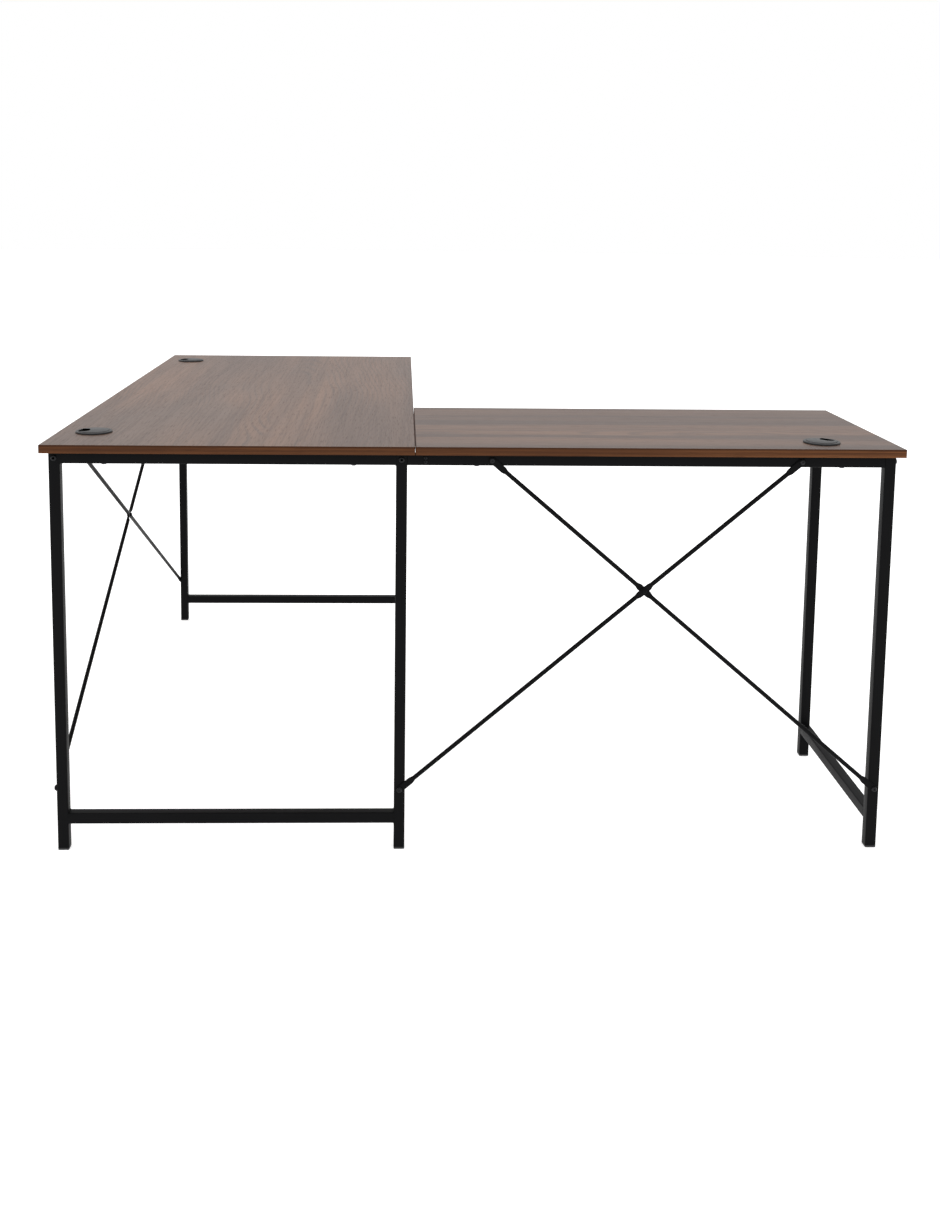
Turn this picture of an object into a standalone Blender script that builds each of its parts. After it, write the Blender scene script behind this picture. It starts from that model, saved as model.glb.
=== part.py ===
"""Corner desk: two laminated boards on bolted square-tube frames with cross braces.

Run it with blender --background --python part.py, or from Blender's text editor.
Metres, +Z up. The origin is the middle of the floor area that the desk covers,
+X runs along the short wing and +Y along the long wing, away from the wall corner.
"""

from math import atan2, cos, hypot, pi, radians, sin

import bmesh
import bpy
from mathutils import Matrix, Vector

# Boards
DESK_HEIGHT = 0.750
BOARD_THICKNESS = 0.015
LONG_BOARD_WIDTH = 0.655
LONG_BOARD_LENGTH = 1.370
SHORT_BOARD_LENGTH = 0.870
SHORT_BOARD_DEPTH = 0.450
BOARD_SEAM = 0.002

# Square tube of the frames
TUBE = 0.020
TUBE_WALL = 0.0012
TUBE_CORNER_RADIUS = 0.002
END_PLATE = 0.003
FRAME_INSET = 0.013
STRETCHER_BASE = 0.050
FOOT_CAP_HEIGHT = 0.004
FOOT_CAP_ROUNDING = 0.0015
FOOT_PLUG_LENGTH = 0.014
SPIGOT_LENGTH = 0.045
SPIGOT_PLAY = 0.0004

# Cross braces
ROD_DIAMETER = 0.008
TAB_WIDTH = 0.012
TAB_THICKNESS = 0.0024
TAB_RAIL_MARGIN = 0.00206
TAB_NOSE = 0.0065
TAB_NOSE_CURVE = 0.55
TAB_SHOULDER = 0.009
CROSSING_FLAT = 0.010
BRACE_FOOT_HEIGHT = 0.115
BRACE_TOP_OFFSET = 0.160

# Cable grommets
GROMMET_BORE = 0.060
GROMMET_RAIL_GAP = 0.003
GROMMET_END_INSET = 0.132
COLLAR_FLANGE = 0.003
COLLAR_FLANGE_OVERLAP = 0.003
COLLAR_FLANGE_CURVE = ((0.1, 0.6), (0.4, 1.0))
COLLAR_WALL = 0.002
COLLAR_REACH = 0.003
COLLAR_LEDGE = 0.0025
CAP_THICKNESS = 0.003
CAP_RIM_CHAMFER = 0.0008
CAP_NOTCH_WIDTH = 0.026
CAP_NOTCH_DEPTH = 0.019
CAP_NOTCH_CORNER = 0.0091

# Fasteners: shank diameter, head diameter, head height. The dome is given as shares of
# the head's diameter and height, and the shank's point as shares of the shank's diameter.
FRAME_BOLT = (0.006, 0.0110, 0.0033)
BRACE_BOLT = (0.005, 0.0095, 0.0028)
SPIGOT_SCREW = (0.004, 0.0064, 0.0020)
BOARD_SCREW = (0.004, 0.0095, 0.0022)
FRAME_BOLT_GRIP = 0.010
BRACE_BOLT_GRIP = 0.012
SPIGOT_SCREW_GRIP = 0.009
BOARD_SCREW_COVER = 0.005
SPIGOT_SCREW_INSET = 0.032
SPIGOT_SCREW_SPACING = 0.0072
BOARD_SCREW_INSET = 0.095
DOME = ((0.50, 0.20), (0.46, 0.55), (0.30, 0.93), (0.0, 1.0))
POINT_RADIUS = 0.3
POINT_LENGTH = 0.2

# Clearances
TOUCH = 0.0003
BORE_PLAY = 0.0003
OVERCUT = 0.004

# Facets
ROUND_STEPS = 12
HOLE_STEPS = 12
GROMMET_STEPS = 36
ROD_STEPS = 12
CORNER_SEGMENTS = 2

# Levels that follow from the sizes above
BOARD_UNDERSIDE = DESK_HEIGHT - BOARD_THICKNESS
RAIL_TOP = BOARD_UNDERSIDE - TOUCH
RAIL_LEVEL = RAIL_TOP - TUBE / 2
STRETCHER_LEVEL = STRETCHER_BASE + TUBE / 2
TUBE_BORE = TUBE - 2 * TUBE_WALL
HALF_TUBE = TUBE / 2
BOARD_SCREW_BITE = BOARD_THICKNESS - BOARD_SCREW_COVER
COLLAR_DEPTH = BOARD_THICKNESS + COLLAR_REACH
GROMMET_EDGE_INSET = FRAME_INSET + TUBE + GROMMET_RAIL_GAP + GROMMET_BORE / 2

# Plan positions: the wall corner of the long board is the lower left one
PLAN_WIDTH = LONG_BOARD_WIDTH + BOARD_SEAM + SHORT_BOARD_LENGTH
PLAN_DEPTH = max(LONG_BOARD_LENGTH, SHORT_BOARD_DEPTH)
WALL_X = -PLAN_WIDTH / 2
WALL_Y = -PLAN_DEPTH / 2
SEAM_X = WALL_X + LONG_BOARD_WIDTH
SHORT_BOARD_X = SEAM_X + BOARD_SEAM
END_X = SHORT_BOARD_X + SHORT_BOARD_LENGTH
LONG_END_Y = WALL_Y + LONG_BOARD_LENGTH
SHORT_FRONT_Y = WALL_Y + SHORT_BOARD_DEPTH

LEFT_LEG_X = WALL_X + FRAME_INSET + HALF_TUBE
MIDDLE_LEG_X = SEAM_X - FRAME_INSET - HALF_TUBE
RIGHT_LEG_X = END_X - FRAME_INSET - HALF_TUBE
WALL_LEG_Y = WALL_Y + FRAME_INSET + HALF_TUBE
LONG_END_LEG_Y = LONG_END_Y - FRAME_INSET - HALF_TUBE
SHORT_FRONT_LEG_Y = SHORT_FRONT_Y - FRAME_INSET - HALF_TUBE

# Every tab is as long as the flattest rod needs for its round part to clear the tube under it
BRACE_RISE = RAIL_LEVEL - BRACE_FOOT_HEIGHT
BRACE_RUNS = (
    RIGHT_LEG_X - MIDDLE_LEG_X - BRACE_TOP_OFFSET,
    LONG_END_LEG_Y - WALL_LEG_Y - BRACE_TOP_OFFSET,
)
TAB_CROSSING_SHARE = min(min(BRACE_RISE, run) / hypot(BRACE_RISE, run) for run in BRACE_RUNS)
TAB_LENGTH = (HALF_TUBE + TAB_RAIL_MARGIN) / TAB_CROSSING_SHARE


def clear_scene():
    """Removes every object that the file starts with."""
    for item in list(bpy.data.objects):
        bpy.data.objects.remove(item, do_unlink=True)


def new_collection(name):
    group = bpy.data.collections.new(name)
    bpy.context.scene.collection.children.link(group)
    return group


def new_material(name, colour, roughness, metallic):
    material = bpy.data.materials.new(name)
    material.use_nodes = True
    shader = material.node_tree.nodes["Principled BSDF"]
    shader.inputs["Base Color"].default_value = (*colour, 1.0)
    shader.inputs["Roughness"].default_value = roughness
    shader.inputs["Metallic"].default_value = metallic
    material.diffuse_color = (*colour, 1.0)
    return material


def add_object(name, work, group, material=None):
    """Turns a bmesh into a named object in a collection."""
    bmesh.ops.recalc_face_normals(work, faces=work.faces)
    mesh = bpy.data.meshes.new(name)
    work.to_mesh(mesh)
    work.free()
    item = bpy.data.objects.new(name, mesh)
    group.objects.link(item)
    if material:
        mesh.materials.append(material)
    return item


def add_cutter(name, work):
    cutter = add_object(name, work, CUTTERS)
    cutter.display_type = "WIRE"
    cutter.hide_render = True
    return cutter


def combine(item, tool, operation):
    modifier = item.modifiers.new(f"{operation.lower()} {tool.name}", "BOOLEAN")
    modifier.object = tool
    modifier.operation = operation
    modifier.solver = "EXACT"


def cut(item, *tools):
    for tool in tools:
        combine(item, tool, "DIFFERENCE")


def turn_to(axis):
    """Rotation that lays local +Z along the named world axis."""
    turns = {
        "X": Matrix.Rotation(pi / 2, 4, "Y"),
        "Y": Matrix.Rotation(-pi / 2, 4, "X"),
        "Z": Matrix.Identity(4),
        "-X": Matrix.Rotation(-pi / 2, 4, "Y"),
        "-Y": Matrix.Rotation(pi / 2, 4, "X"),
        "-Z": Matrix.Rotation(pi, 4, "X"),
    }
    return turns[axis]


def place(item, axis, centre):
    item.rotation_euler = turn_to(axis).to_euler()
    item.location = centre


def box_mesh(size):
    work = bmesh.new()
    bmesh.ops.create_cube(work, size=1.0)
    bmesh.ops.scale(work, vec=size, verts=work.verts)
    return work


def round_long_edges(work, radius):
    """Rounds the edges that run along local Z."""
    long_edges = [
        edge for edge in work.edges
        if abs((edge.verts[0].co - edge.verts[1].co).normalized().z) > 0.99
    ]
    bmesh.ops.bevel(
        work, geom=long_edges, offset=radius, segments=CORNER_SEGMENTS,
        profile=0.5, affect="EDGES", material=-1,
    )


def tube(name, axis, start, end, across, plates=(False, False)):
    """Square tube from start to end along a world axis.

    across holds the two centre coordinates on the other axes. A plate closes the
    tube's end where a bolt is screwed into it.
    """
    length = end - start
    middle = (start + end) / 2
    order = {"X": (middle, *across), "Y": (across[0], middle, across[1]), "Z": (*across, middle)}
    work = box_mesh((TUBE, TUBE, length))
    round_long_edges(work, TUBE_CORNER_RADIUS)
    item = add_object(name, work, DESK, POWDER_COAT)
    place(item, axis, order[axis])

    bottom = -length / 2 + (END_PLATE if plates[0] else -OVERCUT)
    top = length / 2 - (END_PLATE if plates[1] else -OVERCUT)
    hollow = box_mesh((TUBE_BORE, TUBE_BORE, top - bottom))
    bmesh.ops.translate(hollow, vec=(0, 0, (top + bottom) / 2), verts=hollow.verts)
    bore = add_cutter(f"{name}_bore", hollow)
    place(bore, axis, order[axis])
    cut(item, bore)
    return item


def drill(name, axis, centre, diameter, depth, steps=HOLE_STEPS):
    """Round cutter for a hole that goes depth into a face along an axis."""
    work = bmesh.new()
    behind = OVERCUT
    bmesh.ops.create_cone(
        work, cap_ends=True, segments=steps, radius1=diameter / 2,
        radius2=diameter / 2, depth=depth + behind,
    )
    bmesh.ops.translate(work, vec=(0, 0, (depth - behind) / 2), verts=work.verts)
    cutter = add_cutter(name, work)
    place(cutter, axis, centre)
    return cutter


def clear_hole(kind):
    """Diameter of the hole that a fastener passes through."""
    return kind[0] + 2 * BORE_PLAY


def turned(name, profile, material, steps=ROUND_STEPS):
    """Solid turned about local Z from (radius, height) points that run down its outer side."""
    work = bmesh.new()
    points = [work.verts.new((radius, 0, height)) for radius, height in profile]
    for first, second in zip(points, points[1:]):
        work.edges.new((first, second))
    mesh = bpy.data.meshes.new(name)
    work.to_mesh(mesh)
    work.free()
    item = bpy.data.objects.new(name, mesh)
    DESK.objects.link(item)
    mesh.materials.append(material)
    screw = item.modifiers.new("turn", "SCREW")
    screw.axis = "Z"
    screw.steps = steps
    screw.render_steps = steps
    screw.use_merge_vertices = True
    screw.merge_threshold = 0.00001
    return item


def smooth(item):
    for face in item.data.polygons:
        face.use_smooth = True
    item.data.set_sharp_from_angle(angle=radians(35))


def domed_head(kind, seat):
    """Outline of a fastener's head above its seat, from the rim to the crown."""
    head, height = kind[1:]
    rim = [(head / 2, seat)]
    return rim + [(head * across, seat + height * up) for across, up in DOME]


def fastener(name, kind, axis, seat, grip):
    """Domed bolt or screw whose head sits on a face and whose shank runs along axis."""
    shank = kind[0]
    profile = [
        (0, grip),
        (shank * POINT_RADIUS, grip),
        (shank / 2, grip - shank * POINT_LENGTH),
        (shank / 2, -TOUCH),
    ]
    profile += [(radius, -level) for radius, level in domed_head(kind, TOUCH)]
    item = turned(name, profile, ZINC if kind is BOARD_SCREW else POWDER_COAT)
    place(item, axis, seat)
    return item


def build_boards():
    """Both boards, with a round hole for each grommet."""
    boards = {}
    plans = {
        "long_board": (WALL_X, SEAM_X, WALL_Y, LONG_END_Y),
        "short_board": (SHORT_BOARD_X, END_X, WALL_Y, SHORT_FRONT_Y),
    }
    for name, (left, right, back, front) in plans.items():
        work = box_mesh((right - left, front - back, BOARD_THICKNESS))
        board = add_object(name, work, DESK, WALNUT)
        board.location = ((left + right) / 2, (back + front) / 2, DESK_HEIGHT - BOARD_THICKNESS / 2)
        boards[name] = board
    return boards


def build_legs():
    """Six legs, each standing on its foot cap."""
    places = {
        "wall_corner_leg": (LEFT_LEG_X, WALL_LEG_Y),
        "wall_middle_leg": (MIDDLE_LEG_X, WALL_LEG_Y),
        "wall_end_leg": (RIGHT_LEG_X, WALL_LEG_Y),
        "far_corner_leg": (LEFT_LEG_X, LONG_END_LEG_Y),
        "far_middle_leg": (MIDDLE_LEG_X, LONG_END_LEG_Y),
        "front_end_leg": (RIGHT_LEG_X, SHORT_FRONT_LEG_Y),
    }
    legs = {}
    for name, spot in places.items():
        legs[name] = tube(name, "Z", FOOT_CAP_HEIGHT + TOUCH, RAIL_TOP, spot)
        build_foot_cap(name.replace("_leg", "_foot_cap"), spot)
    return legs


def build_foot_cap(name, spot):
    """Plastic cap: a square pad on the floor with a plug up the leg's bore."""
    work = box_mesh((TUBE, TUBE, FOOT_CAP_HEIGHT))
    round_long_edges(work, TUBE_CORNER_RADIUS)
    top = [face for face in work.faces if face.normal.z > 0.99]
    shoulder = (TUBE - TUBE_BORE) / 2 + BORE_PLAY
    bmesh.ops.inset_region(work, faces=top, thickness=shoulder, use_even_offset=True)
    plug = [face for face in work.faces if face.normal.z > 0.99 and face.calc_area() > 0.0001]
    raised = bmesh.ops.extrude_face_region(work, geom=plug)
    bmesh.ops.delete(work, geom=plug, context="FACES_ONLY")
    raised_points = [part for part in raised["geom"] if isinstance(part, bmesh.types.BMVert)]
    bmesh.ops.translate(work, vec=(0, 0, FOOT_PLUG_LENGTH), verts=raised_points)
    rim = [
        edge for edge in work.edges
        if all(abs(point.co.z + FOOT_CAP_HEIGHT / 2) < TOUCH / 2 for point in edge.verts)
    ]
    bmesh.ops.bevel(
        work, geom=rim, offset=FOOT_CAP_ROUNDING, segments=CORNER_SEGMENTS,
        profile=0.5, affect="EDGES", material=-1,
    )
    cap = add_object(name, work, DESK, PLASTIC)
    cap.location = (*spot, FOOT_CAP_HEIGHT / 2)


def build_rails():
    """Rails under the boards and stretchers near the floor, all cut to fit between their neighbours."""
    rails = {}

    def span(name, axis, first, last, across, plates=(False, False)):
        gap = HALF_TUBE + TOUCH
        rails[name] = tube(name, axis, first + gap, last - gap, across, plates)

    both = (True, True)
    span("wall_rail_long_wing", "X", LEFT_LEG_X, MIDDLE_LEG_X, (WALL_LEG_Y, RAIL_LEVEL))
    span("wall_stretcher", "X", LEFT_LEG_X, MIDDLE_LEG_X, (WALL_LEG_Y, STRETCHER_LEVEL))
    span("far_rail", "X", LEFT_LEG_X, MIDDLE_LEG_X, (LONG_END_LEG_Y, RAIL_LEVEL))
    span("far_stretcher", "X", LEFT_LEG_X, MIDDLE_LEG_X, (LONG_END_LEG_Y, STRETCHER_LEVEL))
    span("side_rail_wall", "Y", WALL_LEG_Y, LONG_END_LEG_Y, (LEFT_LEG_X, RAIL_LEVEL), both)
    span("side_rail_middle", "Y", WALL_LEG_Y, LONG_END_LEG_Y, (MIDDLE_LEG_X, RAIL_LEVEL), both)
    bolted_end = (False, True)
    span("wall_rail_short_wing", "X", MIDDLE_LEG_X, RIGHT_LEG_X, (WALL_LEG_Y, RAIL_LEVEL), bolted_end)
    span("front_rail_short_wing", "X", MIDDLE_LEG_X, RIGHT_LEG_X, (SHORT_FRONT_LEG_Y, RAIL_LEVEL), bolted_end)
    span("end_rail", "Y", WALL_LEG_Y, SHORT_FRONT_LEG_Y, (RIGHT_LEG_X, RAIL_LEVEL))
    span("end_stretcher", "Y", WALL_LEG_Y, SHORT_FRONT_LEG_Y, (RIGHT_LEG_X, STRETCHER_LEVEL))
    return rails


def bolt_frames(legs, rails):
    """Bolts through the legs into the plates that close the rails' ends."""
    joints = [
        ("wall_corner_leg", "side_rail_wall", "Y"),
        ("wall_middle_leg", "side_rail_middle", "Y"),
        ("far_corner_leg", "side_rail_wall", "-Y"),
        ("far_middle_leg", "side_rail_middle", "-Y"),
        ("wall_end_leg", "wall_rail_short_wing", "-X"),
        ("front_end_leg", "front_rail_short_wing", "-X"),
    ]
    for leg_name, rail_name, axis in joints:
        leg = legs[leg_name]
        inward = turn_to(axis) @ Vector((0, 0, 1))
        centre = Vector((leg.location.x, leg.location.y, RAIL_LEVEL))
        seat = centre - inward * HALF_TUBE
        grip = TUBE + FRAME_BOLT_GRIP
        hole = drill(f"{leg_name}_bolt_hole", axis, seat, clear_hole(FRAME_BOLT), grip + OVERCUT)
        cut(leg, hole)
        cut(rails[rail_name], hole)
        smooth(fastener(leg_name.replace("_leg", "_frame_bolt"), FRAME_BOLT, axis, seat, grip))


def build_spigots(rails):
    """Solid spigots on the long wing that carry the short wing's rails, with the wall rail's screws."""
    side = TUBE_BORE - 2 * SPIGOT_PLAY
    root = MIDDLE_LEG_X + HALF_TUBE + TOUCH
    for name, across, level in (
        ("wall_rail_spigot", WALL_LEG_Y, RAIL_LEVEL),
        ("front_rail_spigot", SHORT_FRONT_LEG_Y, RAIL_LEVEL),
    ):
        work = box_mesh((SPIGOT_LENGTH, side, side))
        spigot = add_object(name, work, DESK, POWDER_COAT)
        spigot.location = (root + SPIGOT_LENGTH / 2, across, level)
        if name != "wall_rail_spigot":
            continue
        for label, offset in (("upper", 0.5), ("lower", -0.5)):
            height = level + offset * SPIGOT_SCREW_SPACING
            seat = (MIDDLE_LEG_X + HALF_TUBE + SPIGOT_SCREW_INSET, across - HALF_TUBE, height)
            depth = SPIGOT_SCREW_GRIP + BORE_PLAY
            hole = drill(f"spigot_screw_hole_{label}", "Y", seat, clear_hole(SPIGOT_SCREW), depth)
            cut(spigot, hole)
            cut(rails["wall_rail_short_wing"], hole)
            smooth(fastener(f"spigot_screw_{label}", SPIGOT_SCREW, "Y", seat, SPIGOT_SCREW_GRIP))


def screw_boards(boards, rails):
    """Screws from below, through a rail and into the board above it."""
    wall_start = SHORT_BOARD_X + FRAME_INSET
    rows = [
        ("wall_rail_long_wing", "long_board", LEFT_LEG_X - HALF_TUBE, MIDDLE_LEG_X + HALF_TUBE, WALL_LEG_Y),
        ("far_rail", "long_board", LEFT_LEG_X - HALF_TUBE, MIDDLE_LEG_X + HALF_TUBE, LONG_END_LEG_Y),
        ("wall_rail_short_wing", "short_board", wall_start, RIGHT_LEG_X + HALF_TUBE, WALL_LEG_Y),
    ]
    for rail_name, board_name, start, end, across in rows:
        for side, x in (("left", start + BOARD_SCREW_INSET), ("right", end - BOARD_SCREW_INSET)):
            seat = (x, across, RAIL_TOP - TUBE)
            grip = TUBE + TOUCH + BOARD_SCREW_BITE
            label = rail_name.replace("rail", "board_screw") + "_" + side
            hole = drill(f"{label}_hole", "Z", seat, clear_hole(BOARD_SCREW), grip + BORE_PLAY)
            cut(rails[rail_name], hole)
            cut(boards[board_name], hole)
            smooth(fastener(label, BOARD_SCREW, "Z", seat, grip))


def rod_section(work, station, width, thickness, offset, flatness):
    """One ring of a brace rod, round where flatness is 2 and flat-sided where it is higher."""
    ring = bmesh.ops.create_circle(work, segments=ROD_STEPS, radius=1.0)["verts"]
    for point in ring:
        angle = atan2(point.co.y, point.co.x)
        across = abs(cos(angle)) ** (2 / flatness)
        through = abs(sin(angle)) ** (2 / flatness)
        point.co.x = width / 2 * across * (1 if cos(angle) > 0 else -1)
        point.co.y = thickness / 2 * through * (1 if sin(angle) > 0 else -1) + offset
        point.co.z = station
    return [edge for edge in work.edges if edge.verts[0] in ring and edge.verts[1] in ring]


def brace_rod(name, foot, top, normal, side, crossing):
    """Round rod with a flattened, drilled tab at each end and a flattened crossing.

    foot and top are the bolt centres on the frame's face, normal points away from the
    frame, side (1 or -1) says on which side of the other rod this one passes, and
    crossing is how far up the rod that happens, measured from its foot bolt.
    """
    along = (top - foot).normalized()
    length = (top - foot).length
    round_part = (ROD_DIAMETER, ROD_DIAMETER, 2.0)
    flat_part = (TAB_WIDTH, TAB_THICKNESS, 5.0)
    bend_part = (TAB_WIDTH * 0.92, TAB_THICKNESS, 5.0)
    nose_part = (TAB_WIDTH * 0.5, TAB_THICKNESS * 0.8, 4.0)
    bend = TAB_NOSE * TAB_NOSE_CURVE
    pass_side = side * (TAB_THICKNESS + TOUCH) / 2
    stations = [
        (-TAB_NOSE, nose_part, 0),
        (-bend, bend_part, 0),
        (0, flat_part, 0),
        (TAB_LENGTH, flat_part, 0),
        (TAB_LENGTH + TAB_SHOULDER, round_part, 0),
        (crossing - CROSSING_FLAT - TAB_SHOULDER, round_part, 0),
        (crossing - CROSSING_FLAT, flat_part, pass_side),
        (crossing + CROSSING_FLAT, flat_part, pass_side),
        (crossing + CROSSING_FLAT + TAB_SHOULDER, round_part, 0),
        (length - TAB_LENGTH - TAB_SHOULDER, round_part, 0),
        (length - TAB_LENGTH, flat_part, 0),
        (length, flat_part, 0),
        (length + bend, bend_part, 0),
        (length + TAB_NOSE, nose_part, 0),
    ]
    work = bmesh.new()
    rings = [rod_section(work, at, *shape[:2], offset, shape[2]) for at, shape, offset in stations]
    for first, second in zip(rings, rings[1:]):
        bmesh.ops.bridge_loops(work, edges=first + second)
    bmesh.ops.holes_fill(work, edges=rings[0] + rings[-1], sides=ROD_STEPS)
    rod = add_object(name, work, DESK, POWDER_COAT)
    across = normal.cross(along)
    turn = Matrix((across, normal, along)).transposed()
    rod.rotation_euler = turn.to_euler()
    rod.location = foot + normal * (TOUCH + TAB_THICKNESS / 2)
    smooth(rod)
    return rod


def build_brace(name, start, end, normal, axis, anchors, top_rail):
    """Two crossing rods between two legs, bolted at their four ends and where they cross."""
    span = (end - start).length
    along = (end - start).normalized()
    cross_share = span / 2 / (span - BRACE_TOP_OFFSET)
    rise = Vector((0, 0, RAIL_LEVEL - BRACE_FOOT_HEIGHT))
    rods = []
    for side, base, direction, label in ((1, start, along, "a"), (-1, end, -along, "b")):
        foot = base + Vector((0, 0, BRACE_FOOT_HEIGHT))
        top = foot + direction * (span - BRACE_TOP_OFFSET) + rise
        crossing = (top - foot).length * cross_share
        rod = brace_rod(f"{name}_brace_rod_{label}", foot, top, normal, side, crossing)
        rods.append(rod)
        for place_name, seat, host in (("foot", foot, anchors[label]), ("top", top, top_rail)):
            tag = f"{name}_brace_{place_name}_bolt_{label}"
            lift = TOUCH + TAB_THICKNESS
            hole = drill(
                f"{tag}_hole", axis, seat + normal * lift, clear_hole(BRACE_BOLT), BRACE_BOLT_GRIP + BORE_PLAY
            )
            cut(rod, hole)
            cut(host, hole)
            smooth(fastener(tag, BRACE_BOLT, axis, seat + normal * lift, BRACE_BOLT_GRIP))
    middle = start + along * span / 2 + Vector((0, 0, BRACE_FOOT_HEIGHT)) + rise * cross_share
    centre = middle + normal * (TOUCH + TAB_THICKNESS / 2)
    stack = 2 * TAB_THICKNESS + TOUCH
    hole = drill(f"{name}_brace_centre_hole", axis, centre + normal * stack, clear_hole(BRACE_BOLT), 2 * stack)
    cut(rods[0], hole)
    cut(rods[1], hole)
    smooth(centre_rivet(f"{name}_brace_centre_rivet", axis, centre, stack))


def centre_rivet(name, axis, centre, stack):
    """Rivet through both rods, with a domed head on each side."""
    reach = stack / 2 + TOUCH
    upper = domed_head(BRACE_BOLT, reach)[::-1]
    upper.append((BRACE_BOLT[0] / 2, reach))
    lower = [(radius, -level) for radius, level in reversed(upper)]
    item = turned(name, upper + lower, POWDER_COAT)
    place(item, axis, centre)
    return item


def build_braces(legs, rails):
    """One brace on the wall side of each wing."""
    wall_face = WALL_LEG_Y - HALF_TUBE
    side_face = LEFT_LEG_X - HALF_TUBE
    build_brace(
        "short_wing", Vector((MIDDLE_LEG_X, wall_face, 0)), Vector((RIGHT_LEG_X, wall_face, 0)),
        Vector((0, -1, 0)), "Y", {"a": legs["wall_middle_leg"], "b": legs["wall_end_leg"]},
        rails["wall_rail_short_wing"],
    )
    build_brace(
        "long_wing", Vector((side_face, WALL_LEG_Y, 0)), Vector((side_face, LONG_END_LEG_Y, 0)),
        Vector((-1, 0, 0)), "X", {"a": legs["wall_corner_leg"], "b": legs["far_corner_leg"]},
        rails["side_rail_wall"],
    )


def build_grommets(boards):
    """Round cable ports, each a collar in the board with a turning, notched cap."""
    spots = {
        "corner": (WALL_X + GROMMET_EDGE_INSET, WALL_Y + GROMMET_END_INSET, "long_board", 180),
        "far": (WALL_X + GROMMET_EDGE_INSET, LONG_END_Y - GROMMET_END_INSET, "long_board", 180),
        "end": (END_X - GROMMET_END_INSET, WALL_Y + GROMMET_EDGE_INSET, "short_board", 40),
    }
    for name, (x, y, board, notch_heading) in spots.items():
        hole = drill(
            f"{name}_grommet_hole", "-Z", (x, y, DESK_HEIGHT), GROMMET_BORE,
            BOARD_THICKNESS + OVERCUT, GROMMET_STEPS,
        )
        cut(boards[board], hole)
        build_collar(f"{name}_grommet_collar", x, y)
        build_cap(f"{name}_grommet_cap", x, y, radians(notch_heading))


def build_collar(name, x, y):
    """Sleeve through the board with a flange on top and a ledge that the cap rests on."""
    outer = GROMMET_BORE / 2 - BORE_PLAY
    flange = GROMMET_BORE / 2 + COLLAR_FLANGE_OVERLAP
    inner = outer - COLLAR_WALL
    ledge = inner - COLLAR_LEDGE
    ledge_top = TOUCH + COLLAR_FLANGE - CAP_THICKNESS
    shoulder, brim = [
        (flange - COLLAR_FLANGE * back, COLLAR_FLANGE * up + TOUCH) for back, up in COLLAR_FLANGE_CURVE
    ]
    profile = [
        brim,
        shoulder,
        (flange, TOUCH),
        (outer, TOUCH),
        (outer, -COLLAR_DEPTH),
        (ledge, -COLLAR_DEPTH),
        (ledge, ledge_top - TOUCH),
        (inner, ledge_top - TOUCH),
        (inner, COLLAR_FLANGE + TOUCH),
        brim,
    ]
    collar = turned(name, profile, PLASTIC, GROMMET_STEPS)
    collar.location = (x, y, DESK_HEIGHT)
    smooth(collar)


def build_cap(name, x, y, heading):
    """Disc that turns in the collar, with a notch in its rim for the cables."""
    radius = GROMMET_BORE / 2 - BORE_PLAY - COLLAR_WALL - 2 * BORE_PLAY
    base = TOUCH + COLLAR_FLANGE - CAP_THICKNESS
    crown = base + CAP_THICKNESS + CAP_RIM_CHAMFER
    profile = [
        (0, crown),
        (radius - 2 * CAP_RIM_CHAMFER, crown),
        (radius, crown - CAP_RIM_CHAMFER),
        (radius, base),
        (0, base),
    ]
    cap = turned(name, profile, PLASTIC, GROMMET_STEPS)
    cap.location = (x, y, DESK_HEIGHT)
    cap.rotation_euler = (0, 0, heading)
    reach = CAP_NOTCH_DEPTH + OVERCUT
    work = box_mesh((reach, CAP_NOTCH_WIDTH, CAP_THICKNESS * 3))
    round_long_edges(work, CAP_NOTCH_CORNER)
    bmesh.ops.translate(work, vec=(radius + OVERCUT - reach / 2, 0, 0), verts=work.verts)
    notch = add_cutter(f"{name}_notch", work)
    notch.location = cap.location
    notch.rotation_euler = cap.rotation_euler
    cut(cap, notch)
    smooth(cap)


clear_scene()
DESK = new_collection("corner_desk")
CUTTERS = new_collection("corner_desk_cutters")
WALNUT = new_material("walnut_laminate", (0.16, 0.09, 0.055), 0.45, 0.0)
POWDER_COAT = new_material("black_powder_coat", (0.012, 0.012, 0.013), 0.45, 0.0)
PLASTIC = new_material("black_plastic", (0.02, 0.02, 0.021), 0.4, 0.0)
ZINC = new_material("zinc_screw", (0.45, 0.45, 0.46), 0.35, 1.0)


def main():
    boards = build_boards()
    legs = build_legs()
    rails = build_rails()
    bolt_frames(legs, rails)
    build_spigots(rails)
    screw_boards(boards, rails)
    build_braces(legs, rails)
    build_grommets(boards)


main()
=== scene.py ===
"""Corner desk: the finished look of the packed part, laid out as an add-on.

Each operator builds one group of like pieces around the packed frame: the laminated
boards, the welded tube frames, their braces and fasteners, the cable grommets and
the studio that they stand in. Metres, +Z up, the short wing runs along +X.
"""

from math import atan2, copysign, cos, hypot, pi, radians, sin, sqrt

import bmesh
import bpy
from bpy.props import FloatProperty, FloatVectorProperty, IntProperty, PointerProperty
from mathutils import Matrix, Vector


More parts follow.
